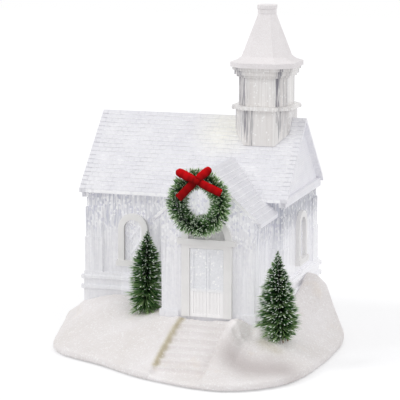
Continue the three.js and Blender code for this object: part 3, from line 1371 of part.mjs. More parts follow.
function steepleLedge() {
  const slab = stage(LEDGE_HALF, LEDGE_BOTTOM + GLUE, LEDGE_TOP);
  const knobs = chamferedSquare(LEDGE_HALF - LEDGE_KNOB_RADIUS / 2).map(([x, y]) => {
    const geometry = new THREE.SphereGeometry(LEDGE_KNOB_RADIUS, 6, 4);
    geometry.rotateX(Math.PI / 2);
    geometry.translate(x, y, LEDGE_BOTTOM + LEDGE_THICKNESS / 3);
    return solidOf(geometry);
  });
  const seat = stage(LOWER_HALF + GLUE, LEDGE_BOTTOM - LEDGE_THICKNESS, LEDGE_BOTTOM + GLUE);
  return joined([slab, ...knobs.map((knob) => knob.subtract(seat))]);
}

function belfry() {
  const shaft = stage(BELFRY_HALF, LEDGE_TOP + GLUE, CORNICE_TOP).add(
    stage(EAVE_NECK_HALF, CORNICE_TOP - GLUE, CORNICE_TOP + EAVE_NECK),
  );
  const cornice = stage(CORNICE_HALF, BELFRY_TOP, CORNICE_TOP);
  const neck = stage(NECK_HALF, BELFRY_TOP - NECK_DROP, BELFRY_TOP + GLUE);
  return joined([shaft, cornice, neck]).subtract(stage(BELFRY_HALF - TOWER_WALL, 0, TALL));
}

function steepleRoof() {
  const middle = FLARE_HALF + (EAVE_HALF - FLARE_HALF) * FLARE_SHARE;
  const outer = stacked([
    [EAVE_HALF, EAVE_BOTTOM], [EAVE_HALF, EAVE_TOP], [middle, EAVE_TOP + FLARE_HEIGHT * FLARE_SHARE],
    [FLARE_HALF, FLARE_TOP], [SPIRE_TOP_HALF, SPIRE_TOP],
  ]);
  const shaft = BELFRY_HALF - TOWER_WALL;
  const inner = stacked([
    [shaft, EAVE_BOTTOM - PAST], [shaft, EAVE_TOP], [SPIRE_TOP_HALF, SPIRE_TOP - SPIRE_CROWN],
  ]);
  return outer.subtract(inner);
}

function spireCap() {
  return stacked([
    [CAP_HALF - CAP_LIP, SPIRE_TOP + GLUE], [CAP_HALF - CAP_LIP, SPIRE_TOP + CAP_HEIGHT / 2],
    [CAP_HALF, SPIRE_TOP + CAP_HEIGHT / 2 + CAP_LIP], [CAP_HALF, SPIRE_TOP + CAP_HEIGHT - CAP_LIP],
    [CAP_HALF - CAP_LIP, SPIRE_TOP + CAP_HEIGHT],
  ]);
}

// One bristle: a thin three sided spike from its root towards its tip
function strand(root, tip, half) {
  const direction = tip.clone().sub(root);
  const length = direction.length();
  const geometry = new THREE.ConeGeometry(half, length, 3, 1);
  geometry.translate(0, length / 2, 0);
  geometry.applyQuaternion(new THREE.Quaternion().setFromUnitVectors(
    new THREE.Vector3(0, 1, 0), direction.normalize(),
  ));
  geometry.translate(root.x, root.y, root.z);
  return solidOf(geometry);
}

// Share of a brush tree's full radius at a share of its height, drawn in at the foot
function treeShare(s, shape) {
  const skirt = Math.min(1, shape.foot + (1 - shape.foot) * (s / FOOT_SHARE));
  return skirt * Math.sin((Math.PI / 2) * Math.min(1, shape.taper * (1 - s)));
}

function treeBrush(tree, shape) {
  const lift = tree.skirt;
  const profile = [new THREE.Vector2(0, lift)];
  for (const s of [0, 0.08, 0.25, 0.45, 0.65, 0.82, 0.94]) {
    const radius = BRUSH_CORE_SHARE * tree.radius * treeShare(s, shape);
    profile.push(new THREE.Vector2(radius, lift + s * (tree.height - lift)));
  }
  profile.push(new THREE.Vector2(0, tree.height - 1));
  const core = new THREE.LatheGeometry(profile, 12);
  core.rotateX(Math.PI / 2);
  const strands = [];
  for (let i = 0; i < tree.strands; i += 1) {
    const s = 1 - Math.sqrt(1 - (0.96 * (i + 0.5)) / tree.strands);
    const z = lift + 0.6 + s * (tree.height - lift - 4);
    const angle = i * GOLDEN_ANGLE;
    const out = new THREE.Vector3(Math.cos(angle), Math.sin(angle), 0);
    const reach = tree.radius * treeShare(s, shape) * (0.94 + 0.06 * Math.cos(7 * i));
    const root = out.clone().multiplyScalar(0.3 * reach).setZ(z);
    const tip = out.clone().multiplyScalar(reach).setZ(z + 0.16 * reach);
    strands.push(strand(root, tip, STRAND_HALF));
  }
  const brush = joined([solidOf(core), ...strands]).rotate([0, shape.lean, 0]);
  return brush.add(post(STEM_RADIUS, 0, 0, -STEM_DEPTH, lift + STEM_DEPTH, 8));
}

function wreathBrush() {
  const core = new THREE.TorusGeometry(WREATH_RING, BRUSH_CORE_SHARE * WREATH_BRUSH, 8, 24);
  core.rotateX(Math.PI / 2);
  const strands = [];
  for (let i = 0; i < WREATH_STRANDS; i += 1) {
    const around = (2 * Math.PI * i) / WREATH_STRANDS;
    const swing = ((i * GOLDEN_ANGLE) % (2 * Math.PI)) - Math.PI;
    const lean = swing * 0.74;
    const radial = new THREE.Vector3(Math.cos(around), 0, Math.sin(around));
    const out = radial.clone().multiplyScalar(Math.sin(lean)).add(new THREE.Vector3(0, -Math.cos(lean), 0));
    const centre = radial.clone().multiplyScalar(WREATH_RING);
    const root = centre.clone().addScaledVector(out, 0.3 * WREATH_BRUSH);
    const tip = centre.clone().addScaledVector(out, WREATH_BRUSH * (0.95 + 0.05 * Math.cos(5 * i)));
    const behindBow = Math.hypot(tip.x - BOW_X, tip.z - BOW_RISE) < BOW_REACH && tip.y < -BOW_SEAT;
    const pressed = behindBow ? (root.y + BOW_SEAT) / (root.y - tip.y) : 1;
    strands.push(strand(root, root.clone().lerp(tip, pressed), STRAND_HALF));
  }
  return joined([solidOf(core), ...strands]);
}

const WREATH_Y = PORCH_VERGE - WREATH_BRUSH * BRUSH_CORE_SHARE - FIT;

// The peg reaches from the gable wall to the back of the wreath, a little below the top of its ring
function wreathPeg() {
  const core = BRUSH_CORE_SHARE * WREATH_BRUSH;
  const tip = WREATH_Y + Math.sqrt(core ** 2 - PEG_DROP ** 2) + 3 * FIT;
  return rodAlongY(PEG_RADIUS, WREATH_X, tip, PORCH_FRONT - GLUE, WREATH_Z + WREATH_RING - PEG_DROP, 10);
}

// A flat loop of ribbon that leaves the knot towards the given angle
function ribbonLoop(length, degrees) {
  const outer = [];
  const inner = [];
  const turns = 8;
  const depth = BOW_LOOP_DEPTH / 2;
  for (let i = 0; i <= turns; i += 1) {
    const angle = -Math.PI / 2 + (Math.PI * i) / turns;
    outer.push([length - depth + depth * Math.cos(angle), depth * Math.sin(angle)]);
    const inside = depth - RIBBON_THICKNESS;
    inner.push([length - depth + inside * Math.cos(angle), inside * Math.sin(angle)]);
  }
  const outerLoop = [[0, -RIBBON_THICKNESS], ...outer, [0, RIBBON_THICKNESS]];
  const innerLoop = [[length * 0.3, -0.2], ...inner, [length * 0.3, 0.2]];
  const geometry = extruded(outerLoop, RIBBON_WIDTH, [innerLoop.reverse()]);
  geometry.translate(0, 0, -RIBBON_WIDTH / 2);
  const half = RIBBON_WIDTH / 2;
  const front = [[0, -half], [length - half, -half]];
  for (let i = 1; i < turns; i += 1) {
    const angle = -Math.PI / 2 + (Math.PI * i) / turns;
    front.push([length - half + half * Math.cos(angle), half * Math.sin(angle)]);
  }
  front.push([length - half, half], [0, half]);
  return solidOf(geometry).intersect(prismAlongY(front, -TALL, TALL)).rotate([0, -degrees, 0]);
}

function ribbonTail(length, degrees) {
  const geometry = new THREE.BoxGeometry(length, RIBBON_THICKNESS, RIBBON_WIDTH);
  geometry.translate(length / 2, 0, 0);
  geometry.rotateY(THREE.MathUtils.degToRad(-degrees));
  return solidOf(geometry);
}

function bow() {
  const knot = new THREE.SphereGeometry(BOW_KNOT, 10, 8);
  knot.scale(1, 0.75, 0.95);
  const loops = LOOP_ANGLES.map((degrees) => ribbonLoop(LOOP_LENGTH, degrees));
  const tails = TAIL_ANGLES.map((degrees) => ribbonTail(TAIL_LENGTH, degrees));
  return joined([...loops, ...tails, solidOf(knot)]);
}

// Leads inside the base, each along its own route
function lead(points) {
  return bar(points, LEAD_RADIUS, 8, 14);
}

// Snow base, its cover and what stands on the cover
piece('snow_base', snowBase(), surface(SNOW, 0.95));
piece('bottom_cover', bottomCover(), surface(FRAME_WHITE, 0.6));
piece('rubber_ring', rubberRing(), surface(DARK_PLASTIC, 0.9));
for (const [index, place] of COVER_SCREWS.entries()) {
  piece(`cover_screw_${index + 1}`, coverScrew(place), surface(PLATED, 0.35, 0.9));
}
for (const [index, place] of CHAPEL_SCREWS.entries()) {
  piece(`chapel_screw_${index + 1}`, chapelScrew(place), surface(PLATED, 0.35, 0.9));
}
piece('battery_door', batteryDoor(), surface(FRAME_WHITE, 0.6), battery);
piece('battery_tray', batteryTray(), surface(DARK_PLASTIC, 0.7), battery);
for (const [index, place] of CONTACTS.entries()) {
  piece(`contact_${index + 1}`, contact(place), surface(PLATED, 0.3, 0.9), battery);
}
for (let i = 0; i < CELL_COUNT; i += 1) {
  const body = piece(`battery_cell_${i + 1}`, cell(cellSide(i)), surface(0x2c2f36, 0.4, 0.3), battery);
  body.position.set(cellX(i), 0, cellZ);
}
piece('switch_body', switchBody(), surface(DARK_PLASTIC, 0.6));
const slider = piece('switch_slider', switchSlider(), surface(0x1c1c1e, 0.6));
slider.position.set(SWITCH_X, SWITCH_Y, 0);
piece('control_board', controlBoard(), surface(0x2f6b3e, 0.5));

// Magnetic drive, chamber floor and fill
piece('motor_bracket', motorBracket(), surface(PLATED, 0.4, 0.8), drive);
piece('drive_motor', driveMotor(), surface(0xb4b7ba, 0.35, 0.8), drive);
piece('motor_shaft', motorShaft(), surface(PLATED, 0.25, 0.9), drive);
piece('magnet_carrier', magnetCarrier(), surface(DARK_PLASTIC, 0.6), drive);
const carrierPocket = carrierBottom + CARRIER_THICKNESS - MAGNET_THICKNESS;
piece('drive_magnet', ringMagnet(carrierPocket), surface(PLATED, 0.25, 0.9), drive);
piece('led_board', ledBoard(), surface(0xe8e8e4, 0.5), drive);
piece('led_lens', ledLens(), surface(0xffe2a8, 0.3), drive);
piece('chamber_floor', chamberFloor(), surface(CLEAR, 0.15));
piece('floor_gasket', floorGasket(), surface(0x9a9a98, 0.9));
piece('fill_plug', fillPlug(), surface(0xd8d6d0, 0.8));
piece('impeller', impeller(), surface(FRAME_WHITE, 0.5), drive);
piece('impeller_magnet', ringMagnet(impellerBottom), surface(PLATED, 0.25, 0.9), drive);
piece('impeller_guard', impellerGuard(), surface(FRAME_WHITE, 0.5), drive);
piece('glitter_fill', glitterFill(), surface(0xeef2f6, 0.05));

// Chapel
piece('chapel_walls', chapelWalls(), surface(CLEAR, 0.12));
piece('chapel_roof', chapelRoof(), surface(FROST, 0.7));
const frame = piece('door_frame', doorFrame(), surface(FRAME_WHITE, 0.5));
frame.position.x = PORCH_X;
const door = piece('double_door', doubleDoor(), surface(CLEAR, 0.15));
door.position.x = PORCH_X;
for (const window of WINDOWS) {
  const mesh = piece(window.name, turned(windowFrame(), window.turn), surface(FRAME_WHITE, 0.5));
  mesh.position.set(window.x, window.y, WINDOW_SILL_Z);
}
piece('steeple_base', steepleBase(), surface(CLEAR, 0.12), steeple);
piece('steeple_ledge', steepleLedge(), surface(CLEAR, 0.12), steeple);
piece('belfry', belfry(), surface(CLEAR, 0.12), steeple);
piece('steeple_roof', steepleRoof(), surface(FROST, 0.7), steeple);
piece('spire_cap', spireCap(), surface(FROST, 0.7), steeple);

// Trees, wreath and bow
const leftBrush = piece('tree_left', treeBrush(trees[0], LEFT_TREE_SHAPE), surface(BRUSH_GREEN, 0.9));
leftBrush.position.set(trees[0].x, trees[0].y, trees[0].z);
const rightBrush = piece('tree_right', treeBrush(trees[1], RIGHT_TREE_SHAPE), surface(BRUSH_GREEN, 0.9));
rightBrush.position.set(trees[1].x, trees[1].y, trees[1].z);
const wreath = piece('wreath', wreathBrush(), surface(BRUSH_GREEN, 0.9));
wreath.position.set(WREATH_X, WREATH_Y, WREATH_Z);
piece('wreath_peg', wreathPeg(), surface(CLEAR, 0.2));
const ribbon = piece('bow', bow(), surface(VELVET_RED, 0.85));
ribbon.position.set(WREATH_X + BOW_X, WREATH_Y - BOW_SEAT - BOW_LOOP_DEPTH / 2 - FIT, WREATH_Z + BOW_RISE);

// Leads: each leaves its part straight, by LEAD_STUB, and comes in straight at the other end
const LEAD_STUB = 4;
const LEAD_SPREAD = 8;
const trayRight = BATTERY_X + trayHalfWidth + TRAY_WALL;
const tapY = BATTERY_Y + 20;
const boardLeft = BOARD_X - BOARD_LENGTH / 2;
const boardFront = BOARD_Y - BOARD_WIDTH / 2;
const boardMiddle = BOARD_Z + BOARD_THICKNESS / 2;
const motorRight = NAVE_X + MOTOR_RADIUS;
const ringBack = NAVE_Y + LED_RING_OUTER;
const switchBack = SWITCH_Y + SWITCH_WIDTH / 2;

function intoBoard(dy) {
  return [
    [boardLeft - LEAD_STUB, BOARD_Y + dy, boardMiddle], [boardLeft - FIT, BOARD_Y + dy, boardMiddle],
  ];
}

piece('battery_leads', lead([
  [trayRight + FIT, tapY, BOARD_Z], [trayRight + LEAD_STUB, tapY, BOARD_Z],
  [NAVE_X - 14, NAVE_Y + 34.5, LEAD_SPREAD], [NAVE_X + 12, NAVE_Y + 38.5, LEAD_SPREAD],
  ...intoBoard(LEAD_SPREAD),
]), surface(COPPER_RED, 0.6));
piece('motor_leads', lead([
  [motorRight + FIT, NAVE_Y, BOARD_Z], [motorRight + LEAD_STUB, NAVE_Y, BOARD_Z], ...intoBoard(-LEAD_SPREAD),
]), surface(COPPER_BLACK, 0.6));
piece('led_leads', lead([
  [NAVE_X, ringBack + FIT, bracketTop], [NAVE_X, ringBack + LEAD_STUB, bracketTop],
  [NAVE_X + 14, NAVE_Y + 28.5, 17], ...intoBoard(0),
]), surface(COPPER_BLACK, 0.6));
piece('switch_leads', lead([
  [SWITCH_X, switchBack + FIT, COVER_TOP + SLIDER_TOP], [SWITCH_X, switchBack + LEAD_STUB, 7],
  [SWITCH_X, boardFront - LEAD_STUB, boardMiddle], [SWITCH_X, boardFront - FIT, boardMiddle],
]), surface(COPPER_RED, 0.6));

export default chapel;
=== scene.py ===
"""Looks of the lit winter chapel: snow, frosted roofs, clear walls, glitter, brush trees, wreath, bow."""
import math

import bmesh
import bpy
import numpy as np
from mathutils import Matrix, Vector

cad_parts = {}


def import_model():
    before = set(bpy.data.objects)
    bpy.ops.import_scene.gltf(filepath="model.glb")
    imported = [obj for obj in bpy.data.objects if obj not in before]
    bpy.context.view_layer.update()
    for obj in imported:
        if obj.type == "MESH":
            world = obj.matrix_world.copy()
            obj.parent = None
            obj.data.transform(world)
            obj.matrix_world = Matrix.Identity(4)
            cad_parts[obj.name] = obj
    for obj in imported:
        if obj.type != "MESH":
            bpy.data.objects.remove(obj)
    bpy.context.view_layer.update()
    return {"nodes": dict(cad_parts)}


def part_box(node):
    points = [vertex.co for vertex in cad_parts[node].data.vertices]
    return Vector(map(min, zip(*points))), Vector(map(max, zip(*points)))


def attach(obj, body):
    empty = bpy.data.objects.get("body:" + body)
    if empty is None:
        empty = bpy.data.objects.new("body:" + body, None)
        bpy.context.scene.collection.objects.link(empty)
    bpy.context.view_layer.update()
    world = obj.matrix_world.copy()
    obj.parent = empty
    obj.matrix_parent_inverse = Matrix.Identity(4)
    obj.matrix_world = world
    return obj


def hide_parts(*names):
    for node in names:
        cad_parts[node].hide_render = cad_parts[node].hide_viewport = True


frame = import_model()
MM = 0.001
BODY = "chapel_body"
SEED = 24
rng = np.random.default_rng(SEED)

# Camera: the photograph's view of the object
TARGET = Vector((-8.8, 57.5, 102.6)) * MM
AZIMUTH = math.radians(17.88)
ELEVATION = math.radians(10.33)
DISTANCE = 1.5
SENSOR_MM = 36
PICTURE_PIXELS = 400
FOCAL_PIXELS = 1875


def make_camera():
    data = bpy.data.cameras.new("camera")
    data.sensor_width = SENSOR_MM
    data.lens = SENSOR_MM * FOCAL_PIXELS / PICTURE_PIXELS
    camera = bpy.data.objects.new("camera", data)
    level = math.cos(ELEVATION)
    back = Vector((math.sin(AZIMUTH) * level, -math.cos(AZIMUTH) * level, math.sin(ELEVATION)))
    camera.location = TARGET + DISTANCE * back
    camera.rotation_euler = (-back).to_track_quat("-Z", "Y").to_euler()
    bpy.context.collection.objects.link(camera)
    bpy.context.scene.camera = camera


make_camera()


# Materials: one Principled shader each, driven by patterns in the object's own coordinates
WHITE = (1.0, 1.0, 1.0)
NOISE_RANGE = (0.3, 0.7)


class Look:
    def __init__(self, name, colour, roughness, **sockets):
        self.material = bpy.data.materials.new(name)
        self.material.use_nodes = True
        self.tree = self.material.node_tree
        self.shader = self.tree.nodes["Principled BSDF"]
        coordinates = self.add("TexCoord").outputs
        self.place = coordinates["Object"]
        self.facing = coordinates["Normal"]
        self.cover((*colour, 1))
        self.drive("Roughness", roughness)
        for socket, value in sockets.items():
            self.drive(socket.replace("_", " "), value)

    def add(self, kind, inputs=None, **settings):
        node = self.tree.nodes.new("ShaderNode" + kind)
        for key, value in settings.items():
            setattr(node, key, value)
        for key, value in (inputs or {}).items():
            self.feed(node.inputs[key], value)
        return node

    def feed(self, socket, value):
        if isinstance(value, bpy.types.NodeSocket):
            self.tree.links.new(value, socket)
        else:
            socket.default_value = value

    def drive(self, socket, value):
        self.feed(self.shader.inputs[socket], value)

    def attribute(self, name):
        return self.add("Attribute", attribute_name=name).outputs

    def stretched(self, stretch):
        return self.add("Mapping", {"Vector": self.place, "Scale": stretch}).outputs["Vector"]

    def noise(self, size, detail=2.0, stretch=(1, 1, 1)):
        """Cloudy values around 0.5, with blobs about size mm across."""
        inputs = {"Vector": self.stretched(stretch), "Scale": 1 / (size * MM), "Detail": detail}
        return self.add("TexNoise", inputs).outputs["Fac"]

    def cells(self, size, stretch=(1, 1, 1)):
        """Cells about size mm across, each with a random Color and the Distance to its middle."""
        inputs = {"Vector": self.stretched(stretch), "Scale": 1 / (size * MM)}
        return self.add("TexVoronoi", inputs).outputs

    def fit(self, value, low, high, to_low=0.0, to_high=1.0):
        inputs = {"Value": value, "From Min": low, "From Max": high, "To Min": to_low, "To Max": to_high}
        return self.add("MapRange", inputs).outputs["Result"]

    def spread(self, noise, to_low=0.0, to_high=1.0):
        """Noise, whose values lie mostly near 0.5, spread over a range."""
        return self.fit(noise, *NOISE_RANGE, to_low, to_high)

    def level(self, share, low, high):
        """What a share from 0 to 1 stands for between low and high."""
        return self.fit(share, 0, 1, low, high)

    def reach(self, value, low, high, to_low=0.0, to_high=1.0):
        """A coordinate or a distance, fitted from a range in mm."""
        return self.fit(value, low * MM, high * MM, to_low, to_high)

    def maths(self, operation, *values):
        node = self.add("Math", operation=operation)
        for socket, value in zip(node.inputs, values):
            self.feed(socket, value)
        return node.outputs["Value"]

    def below(self, value, limit):
        return self.maths("LESS_THAN", value, limit)

    def above(self, value, limit):
        return self.maths("GREATER_THAN", value, limit)

    def times(self, first, *others):
        for other in others:
            first = self.maths("MULTIPLY", first, other)
        return first

    def size_of(self, vector, axis):
        return self.maths("ABSOLUTE", self.part(vector, axis))

    def aside(self, value, middle):
        """Distance of a coordinate from a place given in mm."""
        return self.maths("ABSOLUTE", self.maths("SUBTRACT", value, middle * MM))

    def from_point(self, point):
        """Distance of the place from a point given in mm."""
        inputs = {0: self.place, 1: [value * MM for value in point]}
        return self.add("VectorMath", inputs, operation="DISTANCE").outputs["Value"]

    def from_line(self, x, z, middle):
        """Distance from the line that runs from front to back through a middle (x, z) given in mm."""
        beside = self.maths("SUBTRACT", x, middle[0] * MM)
        above = self.maths("SUBTRACT", z, middle[1] * MM)
        offset = self.add("CombineXYZ", {"X": beside, "Z": above}).outputs["Vector"]
        return self.add("VectorMath", {0: offset}, operation="LENGTH").outputs["Value"]

    def part(self, vector, axis):
        return self.add("SeparateXYZ", {"Vector": vector}).outputs[axis]

    def coordinates(self):
        return tuple(self.part(self.place, axis) for axis in "XYZ")

    def mix(self, factor, first, second):
        node = self.add("Mix", data_type="RGBA")
        self.feed(node.inputs["Factor"], factor)
        for socket, colour in ((node.inputs[6], first), (node.inputs[7], second)):
            self.feed(socket, colour if isinstance(colour, bpy.types.NodeSocket) else (*colour, 1))
        return node.outputs[2]

    def coat(self, below, colour, *shares):
        """A colour laid over another, as densely as the product of the shares."""
        return self.mix(self.times(*shares), below, colour)

    def ramp(self, value, stops):
        """A curve through (place, level) stops, the first and the last at the ends of the value's range."""
        start, end = stops[0][0], stops[-1][0]
        node = self.add("ValToRGB", {"Fac": self.fit(value, start, end)})
        elements = node.color_ramp.elements
        for place, level in stops:
            share = (place - start) / (end - start)
            element = elements[0] if share == 0 else elements[-1] if share == 1 else elements.new(share)
            element.color = (level, level, level, 1)
        return self.add("SeparateColor", {"Color": node.outputs["Color"]}).outputs["Red"]

    def glow(self, colour, strength):
        """Light from inside, as a share of the given colour."""
        self.drive("Emission Color", colour)
        self.drive("Emission Strength", strength)

    def cover(self, colour):
        self.drive("Base Color", colour)

    def relief(self, height, depth, below=None):
        self.drive("Normal", self.bump(height, depth, below))

    def bump(self, height, depth, below=None):
        """Raises the surface by up to depth mm where height is 1, on top of another bump."""
        inputs = {"Height": height, "Distance": depth * MM, "Strength": 1.0}
        if below is not None:
            inputs["Normal"] = below
        return self.add("Bump", inputs).outputs["Normal"]


RIM_LIGHT_Z = (2, 7)


def snow_look():
    """Packed snow: drifts, grain and glints, with tan and grey painted shade and some painted light where
    the attributes say so, and painted light along the rim.
    """
    look = Look("snow", (0.84, 0.82, 0.81), 0.9)
    drift = look.spread(look.noise(30, 3))
    body = look.mix(drift, (0.83, 0.79, 0.775), (0.92, 0.89, 0.895))
    grain = look.spread(look.noise(1.1, 5))
    body = look.coat(body, (0.70, 0.66, 0.645), grain, 0.3)
    glint = look.below(look.part(look.cells(0.9)["Color"], "X"), 0.1)
    body = look.coat(body, (0.98, 0.97, 0.97), glint, 0.6)
    warm = look.fit(look.noise(17, 2), 0.62, 0.8)
    body = look.coat(body, (0.86, 0.76, 0.66), warm, 0.35)
    # Tan painted shade along the left edge of the steps and at the feet of the trees, with a ragged edge
    ragged = look.fit(look.noise(2.2, 3), 0.2, 0.42)
    body = look.coat(body, (0.58, 0.52, 0.38), look.attribute("tan_shade")["Fac"], ragged)
    # Grey painted shade on the bank's front right side and on the risers of the steps
    body = look.mix(look.attribute("painted_shade")["Fac"], body, (0.60, 0.55, 0.545))
    look.cover(body)
    # Painted light: a glow along the rim at the bottom, and in the hollow by the porch that the lift
    # attribute marks
    rim_light = look.reach(look.part(look.place, "Z"), *RIM_LIGHT_Z, 0.09, 0.0)
    look.glow(body, look.maths("ADD", rim_light, look.times(look.attribute("lift")["Fac"], 0.13)))
    look.drive("Roughness", look.level(glint, 0.92, 0.3))
    soft = look.bump(look.noise(6, 3), 0.8)
    look.relief(look.noise(1.0, 5), 0.6, soft)
    return look.material


# Roofs: two frosts, a painted spot of warm light beside the tower, and the courses of both pairs of slopes,
# with painted light on their front edges, gable ends and undersides
LAVENDER_FROST = ((0.76, 0.755, 0.80), (0.82, 0.815, 0.845))
WARM_FROST = ((0.765, 0.73, 0.735), (0.82, 0.785, 0.79))
WARM_LIGHT_SPOT = (16.0, 44.0, 165.0)
WARM_LIGHT_REACH = (8, 30)
NAVE_X = -6
NAVE_RIDGE = 172.2
NAVE_COURSE = 4.13
NAVE_PITCH = 0.7035
PORCH_RIDGE = 143.7
PORCH_COURSE = 2.6
PORCH_PITCH = 0.6673
SHINGLE = 5.2
SHINGLE_JOINT = 0.22
EAVE_Z = (106, 108)
COURSES_HALF = 79


def roof_look(name, frosts, courses=None):
    """Frosted clear resin with painted glow; courses gives the joints and front edges of the shingles,
    where light is painted on those edges, the gable ends and the undersides.
    """
    look = Look(name, frosts[1], 0.55, Specular_IOR_Level=0.4)
    frost = look.mix(look.spread(look.noise(16, 4)), *frosts)
    speck = look.fit(look.noise(0.9, 4), 0.45, 0.7)
    frost = look.coat(frost, (0.93, 0.93, 0.95), speck, 0.4)
    surface = look.bump(look.noise(1.2, 4), 0.25)
    if courses:
        joint, lit_riser, gable = courses(look)
        # Painted pool of warm light beside the tower
        light_spot = look.reach(look.from_point(WARM_LIGHT_SPOT), *WARM_LIGHT_REACH, 0.8, 0.0)
        frost = look.mix(light_spot, frost, (0.93, 0.92, 0.84))
        pebble = look.part(look.cells(3.0)["Color"], "X")
        frost = look.mix(look.level(pebble, 0, 0.22), frost, (0.68, 0.68, 0.73))
        # Painted light: the front edges of the courses lighter and glowing, the gable ends and undersides
        # glowing
        frost = look.coat(frost, WHITE, lit_riser, 0.7)
        look.glow(frost, look.maths("MAXIMUM", look.level(lit_riser, 0.03, 0.13), look.times(gable, 0.17)))
        frost = look.coat(frost, (0.58, 0.58, 0.65), joint, 0.32)
        surface = look.bump(look.maths("SUBTRACT", 1.0, joint), 0.2, surface)
    else:
        # Painted glow on the plain frosted resin
        look.glow(frost, 0.05)
    look.cover(frost)
    look.drive("Roughness", look.spread(look.noise(5, 3), 0.42, 0.65))
    look.drive("Normal", surface)
    return look.material


def shingle_rows(look, along, z, ridge, pitch, course):
    """1 along the joints of shingles in rows that step down from a ridge."""
    down = look.maths("DIVIDE", look.maths("SUBTRACT", ridge * MM, z), pitch)
    vector = look.add("CombineXYZ", {"X": along, "Y": down}).outputs["Vector"]
    return look.add("TexBrick", {
        "Vector": vector, "Scale": 1.0, "Mortar Size": SHINGLE_JOINT * MM, "Mortar Smooth": 0.3,
        "Brick Width": SHINGLE * MM, "Row Height": course * MM,
    }, offset=0.5).outputs["Fac"]


def shingle_joints(look):
    """Shares for the joints, and for painted light on the front edges of the courses and on the gable ends
    and undersides.
    """
    x, y, z = look.coordinates()
    turned = look.above(look.size_of(look.facing, "X"), 0.45)
    joint = look.add("Mix", {"Factor": turned}, data_type="FLOAT")
    look.feed(joint.inputs[2], shingle_rows(look, x, z, NAVE_RIDGE, NAVE_PITCH, NAVE_COURSE))
    look.feed(joint.inputs[3], shingle_rows(look, y, z, PORCH_RIDGE, PORCH_PITCH, PORCH_COURSE))
    faint = look.fit(look.noise(9, 2), 0.3, 0.6)
    steep = look.below(look.size_of(look.facing, "Z"), 0.4)
    inner = look.below(look.aside(x, NAVE_X), COURSES_HALF * MM)
    broken = look.fit(look.noise(2.4, 3), 0.3, 0.6, 0.35, 1.0)
    broken = look.times(broken, look.level(turned, 1.0, 0.3))
    # Front edges of the courses, where light is painted
    lit_riser = look.times(steep, inner, look.times(broken, look.reach(z, *EAVE_Z)))
    end = look.above(look.size_of(look.facing, "X"), 0.95)
    under = look.below(look.part(look.facing, "Z"), -0.2)
    return look.times(joint.outputs[0], faint), lit_riser, look.maths("MAXIMUM", end, under)


# Walls: places of the porch front, the windows, the wreath and the fanlight, which the patterns follow
PORCH_DEPTH = (-34, -30)
BACK_DEPTH = (100, 108)
WALL_SIDES = (30, 60)
# How much painted shade lies under the eaves, by height in mm
UNDER_EAVE_SHADE = ((60, 0.0), (80, 0.1), (92, 0.8), (112, 1.0))
LINES_FADE = (42, 88)
RIGHT_EAVE_X = (70, 74)
RIGHT_EAVE_Z = (88, 102)
GABLE_Z = (88, 106)
WREATH_X = 24.6
WREATH_Z = 120.7
WREATH_INSIDE = (9, 14)
PORCH_X = 27.8
PORCH_RIGHT_X = (44, 58)
PORCH_RIGHT_Z = (96, 80)
LINTEL_TOP = 91.6
FANLIGHT_HALF = 14.6
WINDOW_X = -46.6
WINDOW_TOP = 98
PANE_HALF = 10


def wall_glow(look, x, z, porch, pane, recess):
    """Painted glow on the walls: more at the pane, in the gable, inside the wreath and right of the porch,
    less in the fanlight's recess.
    """
    gable = look.times(porch, look.reach(z, *GABLE_Z))
    shown = look.level(look.maths("ADD", gable, look.times(pane, 0.6)), 0.12, 0.26)
    ringed = look.reach(look.from_line(x, z, (WREATH_X, WREATH_Z)), *WREATH_INSIDE, 0.2, 0.0)
    right = look.times(look.reach(x, *PORCH_RIGHT_X, 0.0, 0.06), look.reach(z, *PORCH_RIGHT_Z))
    shown = look.maths("ADD", look.maths("ADD", shown, look.times(ringed, porch)), right)
    return look.times(shown, look.level(recess, 1.0, 0.5))


